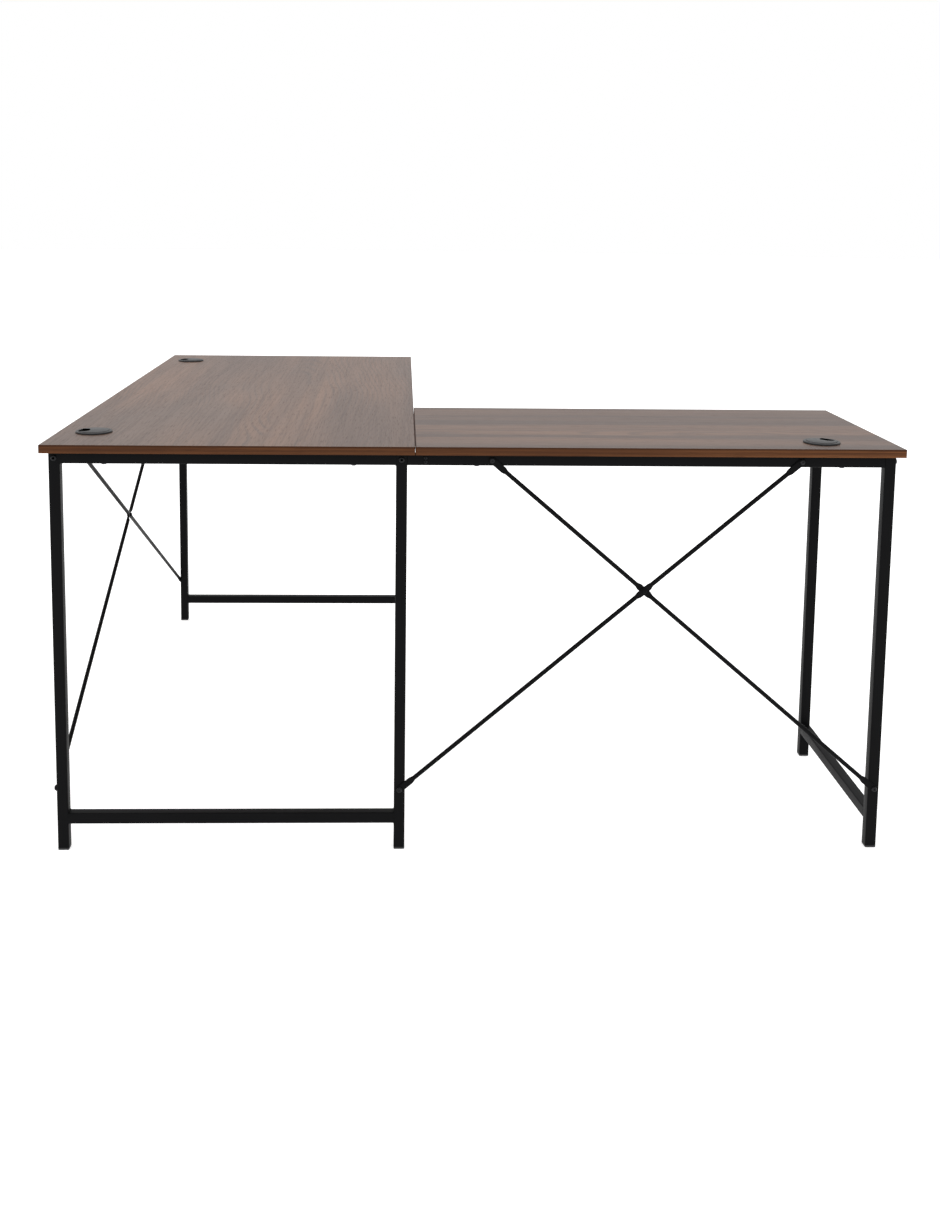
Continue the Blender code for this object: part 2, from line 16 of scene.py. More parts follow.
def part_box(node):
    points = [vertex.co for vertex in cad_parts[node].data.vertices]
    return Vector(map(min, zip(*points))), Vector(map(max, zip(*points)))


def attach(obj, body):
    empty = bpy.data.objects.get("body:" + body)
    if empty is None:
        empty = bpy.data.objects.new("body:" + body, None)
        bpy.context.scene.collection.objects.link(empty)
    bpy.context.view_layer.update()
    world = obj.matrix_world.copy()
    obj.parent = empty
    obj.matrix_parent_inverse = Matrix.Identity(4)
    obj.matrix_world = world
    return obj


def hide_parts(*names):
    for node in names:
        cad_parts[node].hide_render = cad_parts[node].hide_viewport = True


bl_info = {
    "name": "Corner Desk Finish",
    "version": (1, 0, 0),
    "blender": (4, 5, 0),
    "location": "3D View > Sidebar > Corner Desk",
    "description": "Builds the finished pieces of a corner desk around its packed frame",
    "category": "Object",
}

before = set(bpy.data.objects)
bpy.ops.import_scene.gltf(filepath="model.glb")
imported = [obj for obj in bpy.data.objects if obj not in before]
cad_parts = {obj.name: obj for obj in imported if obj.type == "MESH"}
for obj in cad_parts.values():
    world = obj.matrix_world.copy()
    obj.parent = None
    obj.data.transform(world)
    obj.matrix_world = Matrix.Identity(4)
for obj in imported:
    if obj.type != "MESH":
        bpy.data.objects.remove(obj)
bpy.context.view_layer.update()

STATIC = "desk"
LEGS = (
    "wall_corner_leg", "wall_middle_leg", "wall_end_leg",
    "far_corner_leg", "far_middle_leg", "front_end_leg",
)
WELDED_TUBES = (
    "wall_rail_long_wing", "wall_stretcher", "far_rail", "far_stretcher", "end_rail", "end_stretcher",
)
BOLTED_TUBES = ("side_rail_wall", "side_rail_middle", "wall_rail_short_wing", "front_rail_short_wing")
SPIGOTS = ("wall_rail_spigot", "front_rail_spigot")
FRAME_BOLTS = {
    "wall_corner_frame_bolt": (0, 1, 0),
    "wall_middle_frame_bolt": (0, 1, 0),
    "far_corner_frame_bolt": (0, -1, 0),
    "far_middle_frame_bolt": (0, -1, 0),
    "wall_end_frame_bolt": (-1, 0, 0),
    "front_end_frame_bolt": (-1, 0, 0),
}
BRACES = {
    "short_wing": {"face": "wall_middle_leg", "outward": (0, -1, 0)},
    "long_wing": {"face": "wall_corner_leg", "outward": (-1, 0, 0)},
}
BOARD_SCREWS = (
    "wall_board_screw_long_wing_left", "wall_board_screw_long_wing_right",
    "far_board_screw_left", "far_board_screw_right",
    "wall_board_screw_short_wing_left", "wall_board_screw_short_wing_right",
)
# Board screws that are only seen from below, as shares of their rail's length
UNDERSIDE_SCREWS = {
    "side_rail_wall": (0.25, 0.5, 0.75),
    "side_rail_middle": (0.25, 0.5, 0.75),
    "front_rail_short_wing": (0.2, 0.8),
    "end_rail": (0.5,),
}
MERGE = 0.000005  # vertices nearer than this are the same point
SAME_PLACE = 0.00001  # points within this of a plane lie on it
GROMMETS = ("corner", "far", "end")
# Each board: way of the grain, middle of the tree across it, depth of its streaks, its
# grommets, and the side that faces the other board
BOARDS = {
    "long_board": ("Y", -0.36, 0.35, ("corner", "far"), "right"),
    "short_board": ("X", -0.52, 0.80, ("end",), "left"),
}
SIDES = {"wall": (0, -1, 0), "front": (0, 1, 0), "left": (-1, 0, 0), "right": (1, 0, 0)}


def axis_of(low, high):
    """Index of the longest side of a box."""
    sides = high - low
    return max(range(3), key=lambda index: sides[index])


def middle(low, high):
    return (low + high) / 2


TUBE_SIDE = min(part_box("wall_corner_leg")[1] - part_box("wall_corner_leg")[0])
BOARD_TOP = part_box("long_board")[1].z
BOARD_DEPTH = BOARD_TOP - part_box("long_board")[0].z


class BoardSizes(bpy.types.PropertyGroup):
    """Sizes and colours of the laminated boards."""

    band: FloatProperty(
        name="Edge Band", description="Thickness of the strip glued on each edge",
        default=0.0008, unit="LENGTH",
    )
    arris: FloatProperty(
        name="Arris", description="Radius of the scraped edge of the band",
        default=0.0005, unit="LENGTH",
    )
    seam_fill: FloatProperty(
        name="Seam Fill", description="Share of the gap between the boards that the bands take up",
        default=0.6, min=0.0, max=0.9, subtype="FACTOR",
    )
    light_wood: FloatVectorProperty(
        name="Light Walnut", description="Colour between the streaks",
        default=(0.162, 0.078, 0.040), subtype="COLOR", size=3,
    )
    dark_wood: FloatVectorProperty(
        name="Dark Walnut", description="Colour of the streaks and pores",
        default=(0.045, 0.019, 0.010), subtype="COLOR", size=3,
    )
    band_light: FloatVectorProperty(
        name="Light Band", description="Colour of the edge band between its lines",
        default=(0.148, 0.057, 0.021), subtype="COLOR", size=3,
    )
    # The dark band colour also paints the shade line along the top of each band
    band_dark: FloatVectorProperty(
        name="Dark Band", description="Colour of the lines in the edge band",
        default=(0.045, 0.017, 0.008), subtype="COLOR", size=3,
    )
    grey_wood: FloatVectorProperty(
        name="Grey Walnut", description="Colour of the smoky zones of the figure",
        default=(0.085, 0.051, 0.036), subtype="COLOR", size=3,
    )
    rings: FloatProperty(
        name="Rings", description="Growth lines in a metre of board", default=115.0, min=10.0,
    )
    roughness: FloatProperty(
        name="Roughness", description="Gloss of the laminate, 0 is polished",
        default=0.44, min=0.0, max=1.0, subtype="FACTOR",
    )
    reflection: FloatProperty(
        name="Reflection", description="How strongly the laminate reflects straight on",
        default=0.45, min=0.0, max=1.0, subtype="FACTOR",
    )


class TubeSizes(bpy.types.PropertyGroup):
    """Sizes and finish of the square tubes."""

    wall: FloatProperty(
        name="Wall", description="Wall thickness of the square tube", default=0.0012, unit="LENGTH",
    )
    corner: FloatProperty(
        name="Corner", description="Outer radius of the tube's long edges", default=0.0020, unit="LENGTH",
    )
    bead: FloatProperty(
        name="Weld Bead", description="Width of a weld bead", default=0.0036, unit="LENGTH",
    )
    bead_sink: FloatProperty(
        name="Bead Sink", description="How far a flush bead is moved onto its leg",
        default=0.0002, unit="LENGTH",
    )
    foot_round: FloatProperty(
        name="Foot Rounding", description="Radius of the lower edge of a foot cap",
        default=0.0014, unit="LENGTH",
    )
    plug_lead: FloatProperty(
        name="Plug Lead-In", description="Radius of the upper edge of a foot cap's plug",
        default=0.0012, unit="LENGTH",
    )
    coat: FloatVectorProperty(
        name="Powder Coat", description="Colour of the coating",
        default=(0.0026, 0.0026, 0.0029), subtype="COLOR", size=3,
    )
    roughness: FloatProperty(
        name="Roughness", description="Gloss of the coating, 0 is polished",
        default=0.42, min=0.0, max=1.0, subtype="FACTOR",
    )
    sheen_level: FloatProperty(
        name="Reflection", description="How strongly the coating reflects straight on",
        default=0.055, min=0.0, max=1.0, subtype="FACTOR",
    )


class BraceSizes(bpy.types.PropertyGroup):
    """Sizes of the cross braces."""

    rod: FloatProperty(name="Rod", description="Diameter of the round rod", default=0.008, unit="LENGTH")
    tab_width: FloatProperty(
        name="Tab Width", description="Width of the flattened parts", default=0.012, unit="LENGTH",
    )
    tab_thickness: FloatProperty(
        name="Tab Thickness", description="Thickness of the flattened parts", default=0.0024, unit="LENGTH",
    )
    tab_length: FloatProperty(
        name="Tab Length", description="From the bolt to the end of the flat", default=0.026, unit="LENGTH",
    )
    shoulder: FloatProperty(
        name="Shoulder", description="Length of the change from round to flat", default=0.009, unit="LENGTH",
    )
    crossing_flat: FloatProperty(
        name="Crossing Flat", description="Half length of the flat where the rods cross",
        default=0.010, unit="LENGTH",
    )
    play: FloatProperty(name="Play", description="Gap between touching pieces", default=0.0003, unit="LENGTH")


class FastenerSizes(bpy.types.PropertyGroup):
    """Sizes of the bolts and screws."""

    frame_head: FloatProperty(
        name="Frame Bolt Head", description="Height of a frame bolt's head", default=0.0033, unit="LENGTH",
    )
    brace_head: FloatProperty(
        name="Brace Bolt Head", description="Height of a brace bolt's head", default=0.0028, unit="LENGTH",
    )
    board_head: FloatProperty(
        name="Board Screw Head", description="Height of a board screw's head", default=0.0022, unit="LENGTH",
    )
    spigot_head: FloatProperty(
        name="Spigot Screw Head", description="Height of a spigot screw's head",
        default=0.0020, unit="LENGTH",
    )
    frame_shank: FloatProperty(
        name="Frame Bolt Shank", description="Radius of a frame bolt's shank", default=0.0030, unit="LENGTH",
    )
    brace_shank: FloatProperty(
        name="Brace Bolt Shank", description="Radius of a brace bolt's shank", default=0.0025, unit="LENGTH",
    )
    screw_shank: FloatProperty(
        name="Screw Shank", description="Radius of a screw's shank", default=0.0020, unit="LENGTH",
    )
    frame_key: FloatProperty(
        name="Frame Bolt Key", description="Width of the hexagon key of a frame bolt",
        default=0.0040, unit="LENGTH",
    )
    brace_key: FloatProperty(
        name="Brace Bolt Key", description="Width of the hexagon key of a brace bolt",
        default=0.0030, unit="LENGTH",
    )
    sides: IntProperty(name="Facets", description="Facets round a head", default=32, min=12)


class GrommetSizes(bpy.types.PropertyGroup):
    """Sizes of the cable grommets."""

    overlap: FloatProperty(
        name="Flange Overlap", description="How far the flange covers the board round its hole",
        default=0.003, unit="LENGTH",
    )
    wall: FloatProperty(
        name="Sleeve Wall", description="Thickness of the sleeve", default=0.002, unit="LENGTH",
    )
    ledge: FloatProperty(
        name="Ledge", description="Width of the ledge that the cap turns on",
        default=0.0025, unit="LENGTH",
    )
    rim: FloatProperty(
        name="Cap Rim", description="Radius of the rounding on the cap's rim and notch",
        default=0.0008, unit="LENGTH",
    )
    seat_play: FloatProperty(
        name="Seat Play", description="Gap between the cap, the sleeve and the board",
        default=0.0003, unit="LENGTH",
    )
    lead_in: FloatProperty(
        name="Lead-In", description="Height of the tapered lower end of the sleeve",
        default=0.0012, unit="LENGTH",
    )
    notch_width: FloatProperty(
        name="Notch Width", description="Width of the cable notch", default=0.026, unit="LENGTH",
    )
    notch_depth: FloatProperty(
        name="Notch Depth", description="How far the notch goes in from the rim",
        default=0.019, unit="LENGTH",
    )
    notch_lip: FloatProperty(
        name="Notch Lip", description="Radius of the notch's two outer corners",
        default=0.0015, unit="LENGTH",
    )
    side_heading: FloatProperty(
        name="Side Notches", description="Heading of the notches on the long board",
        default=pi, subtype="ANGLE",
    )
    end_heading: FloatProperty(
        name="End Notch", description="Heading of the notch on the short board",
        default=radians(40), subtype="ANGLE",
    )
    plastic: FloatVectorProperty(
        name="Plastic", description="Colour of the moulded plastic",
        default=(0.016, 0.016, 0.017), subtype="COLOR", size=3,
    )


class StudioSettings(bpy.types.PropertyGroup):
    """Floor, light and camera."""

    floor: FloatVectorProperty(
        name="Floor", description="Colour of the floor",
        default=(0.82, 0.82, 0.82), subtype="COLOR", size=3,
    )
    glow: FloatProperty(
        name="Floor Glow", description="Light that the translucent white floor lets through",
        default=0.60, min=0.0,
    )
    floor_radius: FloatProperty(
        name="Floor Radius", description="How far the floor reaches", default=30.0, unit="LENGTH",
    )
    softbox_side: FloatProperty(
        name="Softbox Side", description="Width and length of the light above the desk",
        default=4.0, unit="LENGTH",
    )
    softbox_height: FloatProperty(
        name="Softbox Height", description="Height of the light above the floor",
        default=3.6, unit="LENGTH",
    )
    surround: FloatProperty(
        name="Surround", description="Brightness of the white surroundings", default=1.0, min=0.0,
    )
    overhead: FloatProperty(
        name="Overhead Light", description="Power of the soft light above the desk",
        default=36.0, min=0.0, unit="POWER",
    )
    eye: FloatVectorProperty(
        name="Camera Place", description="Where the camera stands",
        default=(-0.1320, -2.9409, 1.1715), subtype="TRANSLATION", size=3,
    )
    heading: FloatProperty(
        name="Heading", description="Turn of the camera towards the end of the short wing",
        default=0.0295, subtype="ANGLE",
    )
    tilt: FloatProperty(
        name="Tilt", description="Tilt of the camera above the horizon", default=-0.1218, subtype="ANGLE",
    )
    roll: FloatProperty(name="Roll", description="Roll of the camera", default=0.0111, subtype="ANGLE")
    lens: FloatProperty(
        name="Lens", description="Focal length for a 36 mm long side, in millimetres",
        default=38.73, min=1.0,
    )
    shift_x: FloatProperty(name="Shift X", description="Sideways lens shift", default=0.0243)
    shift_y: FloatProperty(name="Shift Y", description="Upward lens shift", default=-0.1996)


# ---------------------------------------------------------------------------
# Materials


class Value:
    """A shader value that arithmetic can be written on."""

    def __init__(self, finish, node, output):
        self.finish = finish
        self.node = node
        self.socket = node.outputs[output]

    def pick(self, output):
        """Another output of the same node."""
        return Value(self.finish, self.node, output)

    def math(self, operation, *others):
        inputs = dict(enumerate((self, *others)))
        return self.finish.node("ShaderNodeMath", {"operation": operation}, inputs)

    def __add__(self, other):
        return self.math("ADD", other)

    __radd__ = __add__

    def __mul__(self, other):
        return self.math("MULTIPLY", other)

    __rmul__ = __mul__

    def __sub__(self, other):
        return self.math("SUBTRACT", other)

    def __rsub__(self, other):
        return self.finish.node("ShaderNodeMath", {"operation": "SUBTRACT"}, {0: other, 1: self})


class Finish:
    """A material in the making, round its Principled shader."""

    def __init__(self, name):
        self.material = bpy.data.materials.new(name)
        self.material.use_nodes = True
        self.tree = self.material.node_tree
        self.shader = self.tree.nodes["Principled BSDF"]

    def feed(self, socket, value):
        """Links a value to a socket, or sets the socket's own number or colour."""
        if isinstance(value, Value):
            self.tree.links.new(value.socket, socket)
        elif socket.type == "RGBA":
            socket.default_value = (*value, 1.0)
        else:
            socket.default_value = value

    def node(self, kind, settings=None, inputs=None, output=0):
        """Any shader node: its settings first, then the values or links of its sockets."""
        made = self.tree.nodes.new(kind)
        for key, setting in (settings or {}).items():
            if key == "stops":
                self.set_stops(made.color_ramp, setting)
            else:
                setattr(made, key, setting)
        for key, value in (inputs or {}).items():
            self.feed(made.inputs[key], value)
        return Value(self, made, output)

    @staticmethod
    def set_stops(ramp, stops):
        """Grey levels of a ramp, from (position, level) pairs."""
        ramp.interpolation = "EASE"
        while len(ramp.elements) < len(stops):
            ramp.elements.new(0.5)
        for element, (position, level) in zip(ramp.elements, stops):
            element.position = position
            element.color = (level, level, level, 1.0)

    def object_space(self):
        return self.node("ShaderNodeTexCoord", output="Object")

    def noise(self, where, stretch, offset=(0, 0, 0), detail=2.0, roughness=0.5, distortion=0.0):
        """Soft noise, 0 to 1, stretched differently along each axis."""
        placed = self.node(
            "ShaderNodeMapping", inputs={"Vector": where, "Location": offset, "Scale": stretch},
        )
        inputs = {"Vector": placed, "Scale": 1.0, "Detail": detail, "Roughness": roughness}
        inputs["Distortion"] = distortion
        return self.node("ShaderNodeTexNoise", inputs=inputs)

    def ramp(self, value, *stops):
        return self.node("ShaderNodeValToRGB", {"stops": stops}, {"Fac": value})

    def blend(self, first, second, share, mode="MIX"):
        """Mixes two colours, by a number or a value from 0 to 1."""
        settings = {"data_type": "RGBA", "blend_type": mode}
        return self.node("ShaderNodeMix", settings, {0: share, 6: first, 7: second}, 2)

    def bump(self, height, strength, distance):
        inputs = {"Height": height, "Strength": strength, "Distance": distance}
        return self.node("ShaderNodeBump", inputs=inputs)

    def surface(self, **values):
        """Sets the shader's own sockets: colour, roughness, metal, specular and normal."""
        names = {
            "colour": "Base Color", "roughness": "Roughness", "metal": "Metallic",
            "reflection": "Specular IOR Level", "normal": "Normal",
        }
        for key, value in values.items():
            self.feed(self.shader.inputs[names[key]], value)
        return self.material


def walnut(name, grain, heart, sizes, edge=False, streak=0.35):
    """Printed walnut laminate whose grain runs along the world axis "X" or "Y".

    heart is where the middle of the tree lay across the board, in metres, and streak
    is the depth of the broad dark streaks. An edge strip has no arched figure, only
    fine straight grain, with a dark line of painted shade just under its top that
    stands for the shade on the scraped arris, and a fainter dark line lower down.
    """
    finish = Finish(name)
    where = finish.object_space()
    split = finish.node("ShaderNodeSeparateXYZ", inputs={0: where})
    across = split.pick("X" if grain == "Y" else "Y")

    def stretch(sideways, lengthways):
        return (sideways, lengthways, sideways) if grain == "Y" else (lengthways, sideways, sideways)

    zones = finish.noise(where, stretch(5.5, 0.55), (3.1, 1.7, 0.4), 3.0, 0.55, 0.3)
    smoke = finish.noise(where, stretch(3.2, 0.9), (7.3, 2.9, 1.1), 2.0, 0.5, 0.6)
    fibre = finish.noise(where, stretch(230.0, 4.5), (1.3, 8.1, 2.2), 3.0, 0.6)
    fleck = finish.noise(where, stretch(60.0, 2.2), (5.3, 4.1, 3.2), 3.0, 0.6)
    pores = finish.noise(where, stretch(820.0, 26.0), (2.3, 6.1, 9.2), 2.0, 0.5)
    pore = finish.ramp(pores, (0.56, 0.0), (0.70, 1.0))

    if edge:
        lines = finish.noise(where, stretch(420.0, 3.0), (4.4, 0.7, 5.5), 3.0, 0.6)
        ring = finish.ramp(lines, (0.48, 0.0), (0.66, 1.0))
    else:
        sway = (finish.noise(where, stretch(1.1, 0.8), (9.7, 3.3, 0.9), 1.0) - 0.5) * 0.22
        tilt = finish.noise(where, stretch(0.5, 1.3), (0.7, 5.9, 6.1), 1.0) * 0.16
        off = across - heart + sway
        reach = (off * off + tilt * tilt).math("SQRT")
        wobble = (fleck - 0.5) * 0.55
        turn = (reach * sizes.rings + wobble).math("FRACT")
        fine = finish.noise(where, stretch(24.0, 1.2), (6.6, 2.4, 7.7), 2.0)
        ring = finish.ramp(turn, (0.0, 0.15), (0.45, 0.0), (0.86, 1.0), (1.0, 0.15))
        ring = ring * finish.ramp(fine, (0.38, 0.25), (0.62, 1.0))

    light, dark = (sizes.band_light, sizes.band_dark) if edge else (sizes.light_wood, sizes.dark_wood)
    body = finish.blend(dark, light, finish.ramp(zones, (0.26, 0.30), (0.70, 1.0)))
    if not edge:
        streaks = finish.noise(where, stretch(17.0, 0.45), (8.8, 1.2, 3.9), 2.0)
        body = finish.blend(body, sizes.grey_wood, finish.ramp(smoke, (0.46, 0.0), (0.70, 0.70)))
        body = finish.blend(body, dark, finish.ramp(streaks, (0.47, 0.0), (0.62, streak)))
    body = finish.blend(body, dark, ring * 0.60)
    body = finish.blend(body, dark, finish.ramp(fibre, (0.45, 0.0), (0.72, 0.42)))
    body = finish.blend(body, dark, pore * 0.5)
    if edge:
        # Painted shade: a dark line just under the band's top stands for the shade on its scraped arris; a
        # fainter dark line sits a little below mid-depth
        drop = BOARD_TOP - split.pick("Z")
        line = finish.ramp(drop * (1 / BOARD_DEPTH), (0.10, 0.95), (0.30, 0.0), (0.56, 0.45), (0.80, 0.0))
        body = finish.blend(body, dark, line)
    roughness = sizes.roughness + pore * 0.10 + (fibre - 0.5) * 0.10
    relief = 1 - pore * 0.7 - ring * 0.25 - fibre * 0.2
    return finish.surface(
        colour=body, roughness=roughness, reflection=0.06 if edge else sizes.reflection,
        normal=finish.bump(relief, 0.25, 0.0002),
    )


def chipboard(name):
    """The pressed chips inside the board, which show in the grommet holes."""
    finish = Finish(name)
    where = finish.object_space()
    chips = finish.node(
        "ShaderNodeTexVoronoi", {"feature": "F1"}, {"Vector": where, "Scale": 620.0, "Randomness": 1.0},
        "Color",
    )
    shade = finish.node("ShaderNodeRGBToBW", inputs={0: chips})
    dust = finish.noise(where, (900.0, 900.0, 1400.0), detail=3.0)
    body = finish.blend((0.28, 0.17, 0.085), (0.52, 0.37, 0.22), shade)
    body = finish.blend(body, (0.12, 0.07, 0.04), finish.ramp(dust, (0.52, 0.0), (0.72, 0.8)))
    return finish.surface(colour=body, roughness=0.85, normal=finish.bump(shade + dust, 0.6, 0.0005))


def powder_coat(name, sizes, grain=760.0, relief=0.05, extra_roughness=0.0):
    """Black powder coat: fine orange peel, and a few slightly duller patches."""
    finish = Finish(name)
    where = finish.object_space()
    peel = finish.noise(where, (grain, grain, grain), detail=2.0, roughness=0.45)
    grit = finish.noise(where, (grain * 4, grain * 4, grain * 4), (3.0, 1.0, 2.0), 1.0)
    patches = finish.noise(where, (9.0, 9.0, 9.0), (5.0, 2.0, 8.0), 3.0)
    dull = finish.ramp(patches, (0.35, 0.0), (0.70, 1.0))
    lighter = tuple(level * 1.75 for level in sizes.coat)
    colour = finish.blend(sizes.coat, lighter, peel * 0.5 + dull * 0.35)
    roughness = sizes.roughness + extra_roughness + dull * 0.07 + (grit - 0.5) * 0.08
    height = peel + grit * 0.25
    return finish.surface(
        colour=colour, roughness=roughness, reflection=sizes.sheen_level,
        normal=finish.bump(height, relief, 0.00035),
    )


def moulded_plastic(name, colour, roughness):
    """Injection-moulded plastic with a fine spark-eroded texture."""
    finish = Finish(name)
    where = finish.object_space()
    texture = finish.noise(where, (2600.0, 2600.0, 2600.0), detail=2.0, roughness=0.6)
    flow = finish.noise(where, (45.0, 45.0, 45.0), (2.0, 7.0, 4.0), 2.0, distortion=0.8)
    lighter = tuple(level * 1.6 for level in colour)
    tone = finish.blend(colour, lighter, texture * 0.5 + flow * 0.5)
    gloss = roughness + (flow - 0.5) * 0.12 + (texture - 0.5) * 0.10
    return finish.surface(
        colour=tone, roughness=gloss, reflection=0.30, normal=finish.bump(texture, 0.10, 0.0002),
    )


def dark_steel(name, colour, roughness, metal=0.85):
    """Blackened steel of the bolts and screws, with faint tool marks."""
    finish = Finish(name)
    where = finish.object_space()
    marks = finish.noise(where, (1500.0, 1500.0, 1500.0), detail=3.0, roughness=0.6)
    stain = finish.noise(where, (210.0, 210.0, 210.0), (1.0, 5.0, 3.0), 3.0)
    brighter = tuple(level * 2.2 for level in colour)
    tone = finish.blend(colour, brighter, finish.ramp(stain, (0.4, 0.0), (0.75, 0.8)))
    gloss = roughness + (marks - 0.5) * 0.2 + (stain - 0.5) * 0.12
    return finish.surface(
        colour=tone, roughness=gloss, metal=metal, reflection=0.2, normal=finish.bump(marks, 0.15, 0.0001),
    )


# ---------------------------------------------------------------------------
# Modelling helpers


def box_mesh(low, high):
    """A box between two corners."""
    work = bmesh.new()
    bmesh.ops.create_cube(work, size=1.0)
    bmesh.ops.scale(work, vec=high - low, verts=work.verts)
    bmesh.ops.translate(work, vec=middle(low, high), verts=work.verts)
    return work


def edges_along(work, index):
    """Edges that run along a world axis."""
    found = []
    for edge in work.edges:
        run = edge.verts[1].co - edge.verts[0].co
        if abs(run[index]) > 0.99 * run.length:
            found.append(edge)
    return found


def edges_at_level(work, level):
    """Level edges at a height."""
    return [
        edge for edge in work.edges
        if all(abs(point.co.z - level) < SAME_PLACE for point in edge.verts)
    ]


def soften(work, edges, radius, segments):
    bmesh.ops.bevel(
        work, geom=edges, offset=radius, segments=segments, profile=0.5, affect="EDGES", material=-1,
    )


def ring(work, radius, level, sides):
    """Edges of a circle round local Z."""
    made = bmesh.ops.create_circle(
        work, cap_ends=False, segments=sides, radius=radius, matrix=Matrix.Translation((0, 0, level)),
    )
    return edges_between(made["verts"])


def edges_between(points):
    """Edges whose both ends are among the given points."""
    chosen = set(points)
    return list({edge for point in chosen for edge in point.link_edges if edge.other_vert(point) in chosen})


def skin(work, rings):
    """Joins rings of edges in order and closes both ends."""
    for first, second in zip(rings, rings[1:]):
        bmesh.ops.bridge_loops(work, edges=first + second)
    bmesh.ops.contextual_create(work, geom=rings[0])
    bmesh.ops.contextual_create(work, geom=rings[-1])


def thicken(work, rise):
    """Makes flat faces into a closed plate of the given thickness along Z."""
    lower = bmesh.ops.extrude_face_region(work, geom=work.faces[:], use_keep_orig=True)
    moved = [part for part in lower["geom"] if isinstance(part, bmesh.types.BMVert)]
    bmesh.ops.translate(work, vec=(0, 0, rise), verts=moved)
    bmesh.ops.recalc_face_normals(work, faces=work.faces)


def finish_piece(name, work, material, body=STATIC, stands_for=(), angle=32):
    """Turns a bmesh into a finished piece that rides on a body of the frame."""
    bmesh.ops.recalc_face_normals(work, faces=work.faces)
    if work.calc_volume(signed=True) < 0:
        bmesh.ops.reverse_faces(work, faces=work.faces)
    mesh = bpy.data.meshes.new(name)
    work.to_mesh(mesh)
    work.free()
    materials = material if isinstance(material, (list, tuple)) else [material]
    for item in materials:
        mesh.materials.append(item)
    for face in mesh.polygons:
        face.use_smooth = True
    mesh.set_sharp_from_angle(angle=radians(angle))
    piece = bpy.data.objects.new(name, mesh)
    bpy.context.scene.collection.objects.link(piece)
    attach(piece, body)
    if stands_for:
        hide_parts(*stands_for)
    return piece


def shared(name, make, *arguments):
    """A material that several operators use, made once."""
    found = bpy.data.materials.get(name)
    return found or make(name, *arguments)


def frame_coat():
    return shared("black_powder_coat_finish", powder_coat, bpy.context.scene.desk_tubes)


def bolt_steel():
    return shared("black_bolt_steel", dark_steel, (0.010, 0.010, 0.011), 0.30, 0.4)


# ---------------------------------------------------------------------------
# Boards


def grommet_centre(name):
    return middle(*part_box(f"{name}_grommet_collar"))


def grommet_radius(name):
    low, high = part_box(f"{name}_grommet_collar")
    return (high.x - low.x) / 2


def board_core(low, high, holes):
    """Laminated panel with a round hole for each grommet; side faces get the second material."""
    work = bmesh.new()
    corners = [(low.x, low.y), (high.x, low.y), (high.x, high.y), (low.x, high.y)]
    points = [work.verts.new((x, y, high.z)) for x, y in corners]
    for first, second in zip(points, points[1:] + points[:1]):
        work.edges.new((first, second))
    for centre, radius in holes:
        place = Matrix.Translation((centre.x, centre.y, high.z))
        bmesh.ops.create_circle(work, cap_ends=False, segments=64, radius=radius, matrix=place)
    bmesh.ops.triangle_fill(work, use_beauty=True, edges=work.edges[:], normal=(0, 0, 1))
    thicken(work, low.z - high.z)
    for face in work.faces:
        face.material_index = 0 if abs(face.normal.z) > 0.5 else 1
    return work


def band_strip(low, high, outward, sizes, reach):
    """Strip of edge band on one side of a board, its two outer long edges scraped round.

    The left and right strips fit between the other two. reach is how far the strip
    stands out past the board.
    """
    start, end = low.copy(), high.copy()
    index = 0 if outward.x else 1
    if index == 0:
        start.y += sizes.band
        end.y -= sizes.band
    if outward[index] > 0:
        start[index] = high[index] - sizes.band
        end[index] += reach
        face = end[index]
    else:
        end[index] = low[index] + sizes.band
        start[index] -= reach
        face = start[index]
    work = box_mesh(start, end)
    outer = [
        edge for edge in edges_along(work, 1 - index)
        if all(abs(point.co[index] - face) < SAME_PLACE for point in edge.verts)
    ]
    soften(work, outer, sizes.arris, 3)
    return work


class DESK_OT_boards(bpy.types.Operator):
    """Builds the two laminated boards and the edge band round each"""

    bl_idname = "desk.boards"
    bl_label = "Boards and Edge Bands"

    def execute(self, context):
        sizes = context.scene.desk_boards
        overlap = context.scene.desk_grommets.overlap
        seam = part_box("short_board")[0].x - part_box("long_board")[1].x
        raw_core = chipboard("raw_chipboard")
        bands = {
            "X": walnut("walnut_edge_band_x", "X", 0.0, sizes, edge=True),
            "Y": walnut("walnut_edge_band_y", "Y", 0.0, sizes, edge=True),
        }
        for node, (grain, heart, streak, holes, facing) in BOARDS.items():
            low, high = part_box(node)
            inset = Vector((sizes.band, sizes.band, 0))
            openings = [(grommet_centre(hole), grommet_radius(hole) - overlap) for hole in holes]
            laminate = walnut(f"walnut_laminate_{node}", grain, heart, sizes, streak=streak)
            finish_piece(
                f"{node}_panel", board_core(low + inset, high - inset, openings),
                [laminate, raw_core], stands_for=(node,),
            )
            for side, outward in SIDES.items():
                reach = seam * sizes.seam_fill / 2 if side == facing else 0.0
                strip = band_strip(low, high, Vector(outward), sizes, reach)
                finish = bands["X" if outward[1] else "Y"]
                finish_piece(f"{node}_{side}_band", strip, finish)
        return {"FINISHED"}


# ---------------------------------------------------------------------------
# Frame


def square_tube(low, high, sizes):
    """Hollow square tube with rounded long edges and open ends."""
    run = axis_of(low, high)
    work = box_mesh(low, high)
    soften(work, edges_along(work, run), sizes.corner, 5)
    ends = [face for face in work.faces if abs(face.normal[run]) > 0.99]
    bmesh.ops.delete(work, geom=ends, context="FACES")
    bmesh.ops.solidify(work, geom=work.faces[:], thickness=sizes.wall)
    return work


def stretched(low, high, amount):
    """A box made longer at both ends of its longest side."""
    run = axis_of(low, high)
    extra = Vector((0, 0, 0))
    extra[run] = amount
    return low - extra, high + extra


